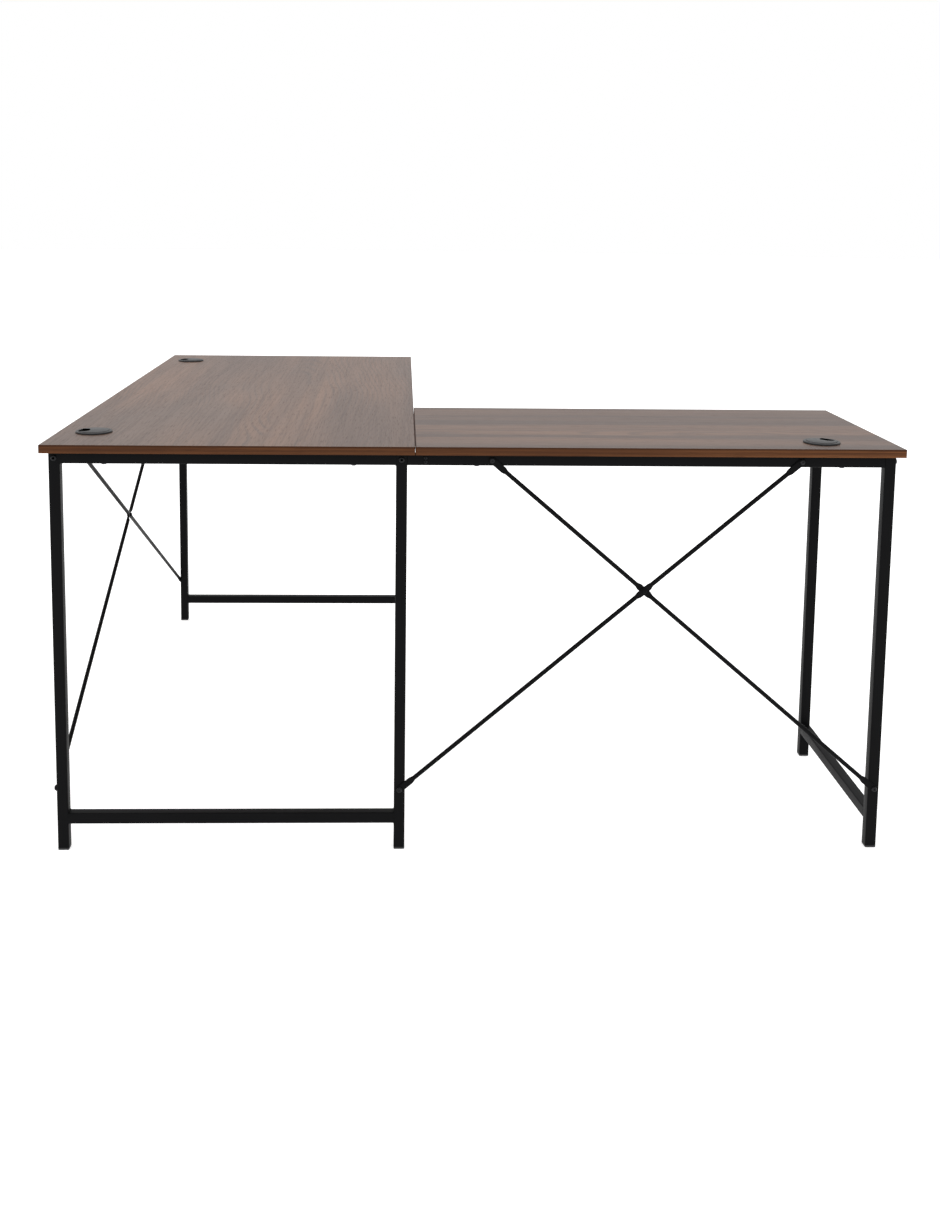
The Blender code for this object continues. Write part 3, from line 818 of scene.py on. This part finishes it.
class DESK_OT_tubes(bpy.types.Operator):
    """Builds the legs, rails and stretchers of square tube"""

    bl_idname = "desk.tubes"
    bl_label = "Legs, Rails and Stretchers"

    def execute(self, context):
        sizes = context.scene.desk_tubes
        play = context.scene.desk_braces.play
        coat = frame_coat()
        for node in (*LEGS, *WELDED_TUBES, *BOLTED_TUBES):
            low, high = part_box(node)
            if node not in LEGS:
                low, high = stretched(low, high, play)
            finish_piece(
                f"{node}_tube", square_tube(low, high, sizes), coat, stands_for=(node,),
            )
        return {"FINISHED"}


def bead_mesh(length, width, height, ripples):
    """Rippled weld bead along local X, half of it above local Z = 0."""
    work = bmesh.new()
    bmesh.ops.create_uvsphere(work, u_segments=10, v_segments=6 * ripples, radius=1.0)
    for point in work.verts:
        station = atan2(point.co.z, hypot(point.co.x, point.co.y)) / (pi / 2)
        around = atan2(point.co.y, point.co.x)
        end = sqrt(max(0.0, 1 - abs(station) ** 8))
        swell = end * (0.90 + 0.10 * abs(sin(station * ripples * pi / 2)))
        point.co = (
            station * length / 2,
            cos(around) * swell * width / 2,
            sin(around) * swell * height,
        )
    bmesh.ops.remove_doubles(work, verts=work.verts, dist=MERGE)
    return work


def add_bead(work, shape, centre, along, outward):
    """Copies a bead into the work at a joint line."""
    count = len(work.verts)
    work.from_mesh(shape)
    work.verts.ensure_lookup_table()
    across = outward.cross(along)
    turn = Matrix((along, across, outward)).transposed().to_4x4()
    bmesh.ops.transform(work, matrix=Matrix.Translation(centre) @ turn, verts=work.verts[count:])


class DESK_OT_welds(bpy.types.Operator):
    """Lays the weld beads where rails and stretchers meet their legs"""

    bl_idname = "desk.welds"
    bl_label = "Weld Beads"

    def execute(self, context):
        sizes = context.scene.desk_tubes
        play = context.scene.desk_braces.play
        flush_length = TUBE_SIDE - sizes.corner
        shapes = {}
        for key, width, height in (
            ("flush", 2 * sizes.corner * 0.95, sizes.corner * 0.55), ("fillet", sizes.bead, sizes.bead / 2),
        ):
            draft = bead_mesh(flush_length, width, height, 7)
            shapes[key] = bpy.data.meshes.new(f"{key}_bead")
            draft.to_mesh(shapes[key])
            draft.free()
        coat = shared("weld_coat", powder_coat, sizes, 520.0, 0.14, 0.05)
        for node in WELDED_TUBES:
            low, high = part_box(node)
            run = axis_of(low, high)
            side = 1 - run
            centre = middle(low, high)
            along_side, along_rail = Vector((0, 0, 0)), Vector((0, 0, 0))
            along_side[side] = 1.0
            along_rail[run] = 1.0
            up = Vector((0, 0, 1))
            work = bmesh.new()
            for end, inward in ((low[run] - play, 1), (high[run] + play, -1)):
                joint = centre.copy()
                joint[run] = end
                for face in (1, -1):
                    out = along_side * face
                    groove = joint + out * (TUBE_SIDE / 2 - sizes.corner * 0.5)
                    groove -= along_rail * inward * sizes.bead_sink
                    add_bead(work, shapes["flush"], groove, up, out)
                corners = (-1,) if "rail" in node else (1, -1)
                for level in corners:
                    corner = joint + up * level * TUBE_SIDE / 2
                    lean = (up * level + along_rail * inward).normalized()
                    add_bead(work, shapes["fillet"], corner, along_side, lean)
            finish_piece(f"{node}_welds", work, coat, angle=60)
        for shape in shapes.values():
            bpy.data.meshes.remove(shape)
        return {"FINISHED"}


class DESK_OT_feet(bpy.types.Operator):
    """Builds the plastic foot caps that close the legs"""

    bl_idname = "desk.feet"
    bl_label = "Foot Caps"

    def execute(self, context):
        sizes = context.scene.desk_tubes
        plastic = shared("foot_plastic", moulded_plastic, context.scene.desk_grommets.plastic, 0.5)
        for leg in LEGS:
            node = leg.replace("_leg", "_foot_cap")
            low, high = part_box(node)
            floor_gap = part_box(leg)[0].z
            pad_top = Vector((high.x, high.y, floor_gap - context.scene.desk_braces.play))
            work = box_mesh(low, pad_top)
            soften(work, edges_along(work, 2), sizes.corner, 5)
            soften(work, edges_at_level(work, low.z), sizes.foot_round, 4)
            inner = Vector((1, 1, 0)) * (sizes.wall + context.scene.desk_braces.play)
            plug = box_mesh(Vector((low.x, low.y, pad_top.z)) + inner, high - inner)
            soften(plug, edges_along(plug, 2), sizes.corner / 2, 3)
            soften(plug, edges_at_level(plug, high.z), sizes.plug_lead, 2)
            draft = bpy.data.meshes.new("plug")
            plug.to_mesh(draft)
            plug.free()
            work.from_mesh(draft)
            bpy.data.meshes.remove(draft)
            finish_piece(f"{node}_moulding", work, plastic, stands_for=(node,))
        return {"FINISHED"}


class DESK_OT_spigots(bpy.types.Operator):
    """Gives the solid spigots inside the short wing's rails their finish"""

    bl_idname = "desk.spigots"
    bl_label = "Spigots"

    def execute(self, context):
        steel = shared("spigot_steel", dark_steel, (0.10, 0.10, 0.105), 0.45)
        for node in SPIGOTS:
            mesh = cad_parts[node].data
            mesh.materials.clear()
            mesh.materials.append(steel)
        return {"FINISHED"}


# ---------------------------------------------------------------------------
# Braces


def rod_ring(work, station, width, thickness, offset, squareness):
    """One ring of a brace rod: round where squareness is 2, flat-sided where it is higher."""
    sides = 28
    made = bmesh.ops.create_circle(work, cap_ends=False, segments=sides, radius=1.0)["verts"]
    for point in made:
        angle = atan2(point.co.y, point.co.x)
        across = copysign(abs(cos(angle)) ** (2 / squareness), cos(angle))
        through = copysign(abs(sin(angle)) ** (2 / squareness), sin(angle))
        point.co = (width / 2 * across, thickness / 2 * through + offset, station)
    return edges_between(made)


def ease(share):
    return share * share * (3 - 2 * share)


def rod_stations(length, crossing, pass_side, sizes):
    """Ring sizes along a rod: rounded noses, tabs, shoulders and the flat where the rods cross."""
    flat = (sizes.tab_width, sizes.tab_thickness, 0.0, 5.0)
    crossed = (sizes.tab_width, sizes.tab_thickness, pass_side, 5.0)
    round_part = (sizes.rod, sizes.rod, 0.0, 2.0)
    nose = sizes.tab_width / 2
    rows = []

    def change(start, first, second, steps=7):
        for step in range(steps + 1):
            share = ease(step / steps)
            row = tuple(a + (b - a) * share for a, b in zip(first, second))
            rows.append((start + sizes.shoulder * step / steps, *row))

    def round_nose(start, side, steps=6):
        for step in sorted(range(1, steps + 1), reverse=side < 0):
            turn = pi / 2 * step / (steps * 1.05)
            thin = sizes.tab_thickness * (1 - 0.25 * (step / steps) ** 3)
            rows.append((start + side * nose * sin(turn), sizes.tab_width * cos(turn), thin, 0.0, 4.0))

    round_nose(0.0, -1)
    rows.append((0.0, *flat))
    change(sizes.tab_length, flat, round_part)
    change(crossing - sizes.crossing_flat - sizes.shoulder, round_part, crossed)
    change(crossing + sizes.crossing_flat, crossed, round_part)
    change(length - sizes.tab_length - sizes.shoulder, round_part, flat)
    rows.append((length, *flat))
    round_nose(length, 1)
    return rows


def bolt_spot(node, outward, plane):
    """Centre of a bolt on the face of the frame that it goes into."""
    spot = middle(*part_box(node))
    index = 0 if outward.x else 1
    spot[index] = plane
    return spot


class DESK_OT_braces(bpy.types.Operator):
    """Builds the crossing rods of both wings"""

    bl_idname = "desk.braces"
    bl_label = "Brace Rods"

    def execute(self, context):
        sizes = context.scene.desk_braces
        coat = frame_coat()
        for wing, facts in BRACES.items():
            outward = Vector(facts["outward"])
            index = 0 if outward.x else 1
            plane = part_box(facts["face"])[0][index]
            ends = {
                label: (
                    bolt_spot(f"{wing}_brace_foot_bolt_{label}", outward, plane),
                    bolt_spot(f"{wing}_brace_top_bolt_{label}", outward, plane),
                )
                for label in ("a", "b")
            }
            run = 1 - index
            span = abs(ends["b"][0][run] - ends["a"][0][run])
            for label, side in (("a", 1), ("b", -1)):
                foot, top = ends[label]
                length = (top - foot).length
                crossing = length * span / 2 / abs(top[run] - foot[run])
                pass_side = side * (sizes.tab_thickness + sizes.play) / 2
                work = bmesh.new()
                rings = [
                    rod_ring(work, station, width, thickness, offset, squareness)
                    for station, width, thickness, offset, squareness
                    in rod_stations(length, crossing, pass_side, sizes)
                ]
                skin(work, rings)
                along = (top - foot).normalized()
                turn = Matrix((outward.cross(along), outward, along)).transposed().to_4x4()
                seat = foot + outward * (sizes.play + sizes.tab_thickness / 2)
                bmesh.ops.transform(work, matrix=Matrix.Translation(seat) @ turn, verts=work.verts)
                node = f"{wing}_brace_rod_{label}"
                finish_piece(f"{node}_bar", work, coat, stands_for=(node,))
        return {"FINISHED"}


# ---------------------------------------------------------------------------
# Fasteners


def crown_outline(head_radius, head_height, top_radius):
    """Outline of a domed head, from its rim up to the flat round its socket."""
    steps = 6
    rim = head_height * 0.22
    points = [(head_radius * 0.97, 0.0), (head_radius, rim * 0.4), (head_radius, rim)]
    for step in range(1, steps + 1):
        turn = pi / 2 * step / steps
        radius = top_radius + (head_radius - top_radius) * cos(turn)
        points.append((radius, rim + (head_height - rim) * sin(turn)))
    return points


def socket_bolt(head_radius, head_height, shank_radius, grip, key, sides):
    """Button-head bolt on local Z: head and hexagon socket up from its seat at 0, shank down."""
    work = bmesh.new()
    outline = [(shank_radius * 0.6, -grip), (shank_radius, -grip + shank_radius * 0.5), (shank_radius, 0.0)]
    outline += crown_outline(head_radius, head_height, key * 0.78)
    rings = [ring(work, radius, level, sides) for radius, level in outline]
    hexagon = key / 2 / cos(pi / 6)
    rings.append(ring(work, hexagon * 1.06, head_height, 6))
    rings.append(ring(work, hexagon, head_height - head_height * 0.06, 6))
    rings.append(ring(work, hexagon, head_height * 0.35, 6))
    skin(work, rings)
    return work


def cross_loop(work, reach, slot, level):
    """Edges of a plus-shaped outline for a cross recess."""
    made = bmesh.ops.create_circle(
        work, cap_ends=False, segments=12, radius=1.0, matrix=Matrix.Translation((0, 0, level)),
    )["verts"]
    arm = [(reach, -slot / 2), (reach, slot / 2), (slot / 2, slot / 2)]
    ordered = sorted(made, key=lambda point: atan2(point.co.y, point.co.x) % (2 * pi))
    for number, point in enumerate(ordered):
        turn = Matrix.Rotation(pi / 2 * (number // 3), 2)
        spot = turn @ Vector(arm[number % 3])
        point.co = (spot.x, spot.y, level)
    return edges_between(made)


def cross_screw(head_radius, head_height, shank_radius, grip, sides):
    """Pan-head screw on local Z: head and cross recess up from its seat at 0, point down."""
    work = bmesh.new()
    outline = [(shank_radius * 0.1, -grip), (shank_radius, -grip + shank_radius * 2.4), (shank_radius, 0.0)]
    outline += crown_outline(head_radius, head_height, head_radius * 0.66)
    rings = [ring(work, radius, level, sides) for radius, level in outline]
    rings.append(cross_loop(work, head_radius * 0.56, head_radius * 0.20, head_height))
    rings.append(cross_loop(work, head_radius * 0.50, head_radius * 0.17, head_height * 0.72))
    rings.append(cross_loop(work, head_radius * 0.26, head_radius * 0.13, head_height * 0.25))
    skin(work, rings)
    return work


def rivet(radius, length, head, sides):
    """Rivet along local Z, centred on its origin, with a domed head at each end."""
    work = bmesh.new()
    seat = length / 2 - head
    upper = [(radius * 0.5, seat)]
    upper += [(across, seat + level) for across, level in crown_outline(radius, head, radius * 0.25)]
    lower = [(across, -level) for across, level in reversed(upper)]
    rings = [ring(work, across, level, sides) for across, level in lower + upper]
    skin(work, rings)
    return work


def lay_along(work, seat, head_side):
    """Moves a fastener made on local Z so that its head points along head_side."""
    turn = head_side.to_track_quat("Z", "Y").to_matrix().to_4x4()
    bmesh.ops.transform(work, matrix=Matrix.Translation(seat) @ turn, verts=work.verts)


def fastener_place(node, direction, head_height):
    """Seat, head radius and grip of a fastener, from its place in the frame."""
    low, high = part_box(node)
    index = max(range(3), key=lambda number: abs(direction[number]))
    seat = middle(low, high)
    outer = low[index] if direction[index] > 0 else high[index]
    seat[index] = outer + direction[index] * head_height
    cross = [high[number] - low[number] for number in range(3) if number != index]
    return seat, max(cross) / 2, high[index] - low[index] - head_height


class DESK_OT_bolts(bpy.types.Operator):
    """Builds the frame bolts, the brace bolts and the rivets where the rods cross"""

    bl_idname = "desk.bolts"
    bl_label = "Bolts and Rivets"

    def execute(self, context):
        sizes = context.scene.desk_fasteners
        steel = bolt_steel()
        jobs = {
            node: (Vector(direction), sizes.frame_head, sizes.frame_shank, sizes.frame_key)
            for node, direction in FRAME_BOLTS.items()
        }
        for wing, facts in BRACES.items():
            inward = -Vector(facts["outward"])
            for place in ("foot_bolt_a", "foot_bolt_b", "top_bolt_a", "top_bolt_b"):
                jobs[f"{wing}_brace_{place}"] = (
                    inward, sizes.brace_head, sizes.brace_shank, sizes.brace_key,
                )
        for node, (direction, head, shank, key) in jobs.items():
            seat, radius, grip = fastener_place(node, direction, head)
            work = socket_bolt(radius, head, shank, grip, key, sizes.sides)
            lay_along(work, seat, -direction)
            finish_piece(f"{node}_steel", work, steel, stands_for=(node,), angle=40)
        coat = frame_coat()
        for wing, facts in BRACES.items():
            node = f"{wing}_brace_centre_rivet"
            low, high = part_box(node)
            outward = Vector(facts["outward"])
            index = 0 if outward.x else 1
            work = rivet((high.z - low.z) / 2, high[index] - low[index], sizes.brace_head, sizes.sides)
            lay_along(work, middle(low, high), outward)
            finish_piece(f"{node}_steel", work, coat, stands_for=(node,), angle=40)
        return {"FINISHED"}


class DESK_OT_screws(bpy.types.Operator):
    """Builds the board screws and the small screws that hold the spigots"""

    bl_idname = "desk.screws"
    bl_label = "Screws"

    def execute(self, context):
        sizes = context.scene.desk_fasteners
        zinc = shared("black_zinc_screw", dark_steel, (0.055, 0.055, 0.060), 0.36)
        steel = bolt_steel()
        up = Vector((0, 0, 1))
        for node in BOARD_SCREWS:
            seat, radius, grip = fastener_place(node, up, sizes.board_head)
            work = cross_screw(radius, sizes.board_head, sizes.screw_shank, grip, sizes.sides)
            lay_along(work, seat, -up)
            finish_piece(f"{node}_steel", work, zinc, stands_for=(node,), angle=40)
        wallward = Vector((0, 1, 0))
        spigot_rows = []
        for node in ("spigot_screw_upper", "spigot_screw_lower"):
            seat, radius, grip = fastener_place(node, wallward, sizes.spigot_head)
            spigot_rows.append((seat, radius, grip))
            work = cross_screw(radius, sizes.spigot_head, sizes.screw_shank, grip, sizes.sides)
            lay_along(work, seat, -wallward)
            finish_piece(f"{node}_steel", work, steel, stands_for=(node,), angle=40)
        self.add_underside_screws(sizes, zinc)
        self.add_front_spigot_screws(sizes, steel, spigot_rows)
        return {"FINISHED"}

    def add_underside_screws(self, sizes, zinc):
        """Board screws of the other rails, alike with those in the frame."""
        up = Vector((0, 0, 1))
        seat, radius, grip = fastener_place(BOARD_SCREWS[0], up, sizes.board_head)
        for rail, shares in UNDERSIDE_SCREWS.items():
            low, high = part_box(rail)
            run = axis_of(low, high)
            for number, share in enumerate(shares, 1):
                spot = middle(low, high)
                spot[run] = low[run] + (high[run] - low[run]) * share
                spot.z = seat.z
                work = cross_screw(radius, sizes.board_head, sizes.screw_shank, grip, sizes.sides)
                lay_along(work, spot, -up)
                finish_piece(f"{rail}_board_screw_{number}", work, zinc, angle=40)

    def add_front_spigot_screws(self, sizes, steel, rows):
        """The front rail's pair of spigot screws, on its front face."""
        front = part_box("front_rail_short_wing")[1].y
        outward = Vector((0, 1, 0))
        for number, (seat, radius, grip) in enumerate(rows, 1):
            spot = Vector((seat.x, front + sizes.spigot_head * 0.05, seat.z))
            work = cross_screw(radius, sizes.spigot_head, sizes.screw_shank, grip, sizes.sides)
            lay_along(work, spot, outward)
            finish_piece(f"front_spigot_screw_{number}", work, steel, angle=40)


# ---------------------------------------------------------------------------
# Grommets


def lathe(outline, sides):
    """Closed solid of revolution round local Z from a closed outline of (radius, level) points."""
    work = bmesh.new()
    points = [work.verts.new((radius, 0, level)) for radius, level in outline]
    for first, second in zip(points, points[1:] + points[:1]):
        work.edges.new((first, second))
    bmesh.ops.spin(
        work, geom=work.verts[:] + work.edges[:], cent=(0, 0, 0), axis=(0, 0, 1),
        angle=2 * pi, steps=sides, use_merge=True,
    )
    bmesh.ops.remove_doubles(work, verts=work.verts, dist=MERGE)
    return work


def collar_outline(low, high, sizes, cap_base):
    """Outline of a grommet's collar from the board's top: rolled flange, sleeve, taper and ledge."""
    flange = (high.x - low.x) / 2
    play = sizes.seat_play
    sleeve = flange - sizes.overlap - play
    inner = sleeve - sizes.wall
    ledge = inner - sizes.ledge
    top = high.z - BOARD_TOP
    seat = low.z - BOARD_TOP
    lift = play * 2 / 3
    outline = [(inner, top - lift), (inner + play, top)]
    steps = 6
    roll = top * 0.40
    for step in range(steps + 1):
        turn = pi / 2 * step / steps
        outline.append((flange - roll + roll * sin(turn), top - roll + roll * cos(turn)))
    outline += [
        (flange, top * 0.12),
        (flange - play, lift),
        (sleeve, lift),
        (sleeve, seat + sizes.lead_in),
        (sleeve - sizes.lead_in * 2 / 3, seat),
        (ledge + sizes.lead_in / 2, seat),
        (ledge, seat + sizes.lead_in / 2),
        (ledge, cap_base - play),
        (inner, cap_base - play),
    ]
    return outline


def cut_notch(work, half, floor):
    """Cuts a square notch, open towards +X, out of a flat disc."""
    cuts = (((0, half, 0), (0, 1, 0)), ((0, -half, 0), (0, 1, 0)), ((floor, 0, 0), (1, 0, 0)))
    for point, normal in cuts:
        everything = work.verts[:] + work.edges[:] + work.faces[:]
        bmesh.ops.bisect_plane(work, geom=everything, plane_co=point, plane_no=normal, dist=MERGE / 5)
    notch = []
    for face in work.faces:
        centre = face.calc_center_median()
        if centre.x > floor and abs(centre.y) < half:
            notch.append(face)
    bmesh.ops.delete(work, geom=notch, context="FACES")
    bmesh.ops.dissolve_faces(work, faces=work.faces[:])


def round_points(work, points, radius, segments):
    bmesh.ops.bevel(
        work, geom=points, offset=radius, segments=segments, profile=0.5, affect="VERTICES", material=-1,
    )


def cap_disc(radius, thickness, sizes):
    """Flat cap round local Z with a rounded upper edge and a cable notch towards +X."""
    work = bmesh.new()
    bmesh.ops.create_circle(work, cap_ends=True, segments=96, radius=radius)
    half = sizes.notch_width / 2
    floor = radius - sizes.notch_depth
    cut_notch(work, half, floor)
    sides = [point for point in work.verts if abs(abs(point.co.y) - half) < SAME_PLACE]
    corners = [point for point in sides if abs(point.co.x - floor) < SAME_PLACE]
    shoulders = [point for point in sides if point.co.x > radius * 0.7 and len(point.link_edges) == 2]
    round_points(work, corners, half * 0.7, 8)
    round_points(work, shoulders, sizes.notch_lip, 4)
    thicken(work, thickness)
    rim = [edge for edge in work.edges if all(point.co.z > thickness / 2 for point in edge.verts)]
    soften(work, rim, sizes.rim, 3)
    return work


class DESK_OT_grommets(bpy.types.Operator):
    """Builds the grommet sleeves and the caps that turn in them"""

    bl_idname = "desk.grommets"
    bl_label = "Cable Grommets"

    def execute(self, context):
        sizes = context.scene.desk_grommets
        plastic = shared("grommet_plastic", moulded_plastic, sizes.plastic, 0.46)
        for name in GROMMETS:
            collar, cap = f"{name}_grommet_collar", f"{name}_grommet_cap"
            low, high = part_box(collar)
            cap_low, cap_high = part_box(cap)
            centre = middle(low, high)
            outline = collar_outline(low, high, sizes, cap_low.z - BOARD_TOP)
            work = lathe(outline, 72)
            bmesh.ops.translate(work, vec=(centre.x, centre.y, BOARD_TOP), verts=work.verts)
            finish_piece(f"{collar}_moulding", work, plastic, stands_for=(collar,))
            radius = max(cap_high.x - cap_low.x, cap_high.y - cap_low.y) / 2
            disc = cap_disc(radius, cap_high.z - cap_low.z, sizes)
            heading = sizes.end_heading if name == "end" else sizes.side_heading
            place = Matrix.Translation((centre.x, centre.y, cap_low.z)) @ Matrix.Rotation(heading, 4, "Z")
            bmesh.ops.transform(disc, matrix=place, verts=disc.verts)
            finish_piece(
                f"{cap}_moulding", disc, plastic, body=f"{name}_cap", stands_for=(cap,),
            )
        return {"FINISHED"}


# ---------------------------------------------------------------------------
# Studio


class DESK_OT_studio(bpy.types.Operator):
    """Sets up the pale floor, the soft light and the camera"""

    bl_idname = "desk.studio"
    bl_label = "Studio"

    def execute(self, context):
        settings = context.scene.desk_studio
        self.build_floor(settings)
        self.build_light(settings)
        self.build_camera(settings)
        context.scene.view_settings.view_transform = "Standard"
        return {"FINISHED"}

    def build_floor(self, settings):
        work = bmesh.new()
        bmesh.ops.create_circle(work, cap_ends=True, segments=64, radius=settings.floor_radius)
        mesh = bpy.data.meshes.new("studio_floor")
        work.to_mesh(mesh)
        work.free()
        paint = Finish("floor_paint")
        paint.feed(paint.shader.inputs["Emission Color"], (1, 1, 1))
        paint.feed(paint.shader.inputs["Emission Strength"], settings.glow)
        mesh.materials.append(paint.surface(colour=settings.floor, roughness=0.9, reflection=0.2))
        floor = bpy.data.objects.new("studio_floor", mesh)
        bpy.context.scene.collection.objects.link(floor)

    def build_light(self, settings):
        world = bpy.data.worlds.new("white_surround")
        world.use_nodes = True
        background = world.node_tree.nodes["Background"]
        background.inputs["Color"].default_value = (1, 1, 1, 1)
        background.inputs["Strength"].default_value = settings.surround
        bpy.context.scene.world = world
        light = bpy.data.lights.new("overhead_softbox", "AREA")
        light.shape = "RECTANGLE"
        light.size = settings.softbox_side
        light.size_y = settings.softbox_side
        light.energy = settings.overhead
        softbox = bpy.data.objects.new("overhead_softbox", light)
        softbox.location = (0, 0, settings.softbox_height)
        bpy.context.scene.collection.objects.link(softbox)

    def build_camera(self, settings):
        camera = bpy.data.cameras.new("camera")
        camera.sensor_width = 36.0
        camera.lens = settings.lens
        camera.shift_x = settings.shift_x
        camera.shift_y = settings.shift_y
        turn = settings.heading
        tilt = settings.tilt
        forward = Vector((sin(turn) * cos(tilt), cos(turn) * cos(tilt), sin(tilt)))
        right = Vector((cos(turn), -sin(turn), 0))
        up = right.cross(forward)
        side = right * cos(settings.roll) + up * sin(settings.roll)
        top = up * cos(settings.roll) - right * sin(settings.roll)
        aim = Matrix((side, top, -forward)).transposed().to_4x4()
        item = bpy.data.objects.new("camera", camera)
        item.matrix_world = Matrix.Translation(settings.eye) @ aim
        bpy.context.scene.collection.objects.link(item)
        bpy.context.scene.camera = item


# ---------------------------------------------------------------------------
# Add-on


class DESK_PT_sidebar(bpy.types.Panel):
    """Sizes and build buttons of the corner desk"""

    bl_idname = "DESK_PT_sidebar"
    bl_label = "Corner Desk"
    bl_space_type = "VIEW_3D"
    bl_region_type = "UI"
    bl_category = "Corner Desk"

    def draw(self, context):
        layout = self.layout
        for slot, group in GROUPS.items():
            box = layout.box()
            box.label(text=group.__doc__)
            for name in group.__annotations__:
                box.prop(getattr(context.scene, slot), name)
        for operator in OPERATORS:
            layout.operator(operator.bl_idname)


GROUPS = {
    "desk_boards": BoardSizes,
    "desk_tubes": TubeSizes,
    "desk_braces": BraceSizes,
    "desk_fasteners": FastenerSizes,
    "desk_grommets": GrommetSizes,
    "desk_studio": StudioSettings,
}
OPERATORS = (
    DESK_OT_boards, DESK_OT_tubes, DESK_OT_welds, DESK_OT_feet, DESK_OT_spigots, DESK_OT_braces,
    DESK_OT_bolts, DESK_OT_screws, DESK_OT_grommets, DESK_OT_studio,
)


def register():
    for item in (*GROUPS.values(), *OPERATORS, DESK_PT_sidebar):
        bpy.utils.register_class(item)
    for slot, group in GROUPS.items():
        setattr(bpy.types.Scene, slot, PointerProperty(type=group))


def unregister():
    for slot in GROUPS:
        delattr(bpy.types.Scene, slot)
    for item in reversed((*GROUPS.values(), *OPERATORS, DESK_PT_sidebar)):
        bpy.utils.unregister_class(item)


def main():
    register()
    bpy.ops.desk.boards()
    bpy.ops.desk.tubes()
    bpy.ops.desk.welds()
    bpy.ops.desk.feet()
    bpy.ops.desk.spigots()
    bpy.ops.desk.braces()
    bpy.ops.desk.bolts()
    bpy.ops.desk.screws()
    bpy.ops.desk.grommets()
    bpy.ops.desk.studio()


if __name__ == "__main__":
    main()
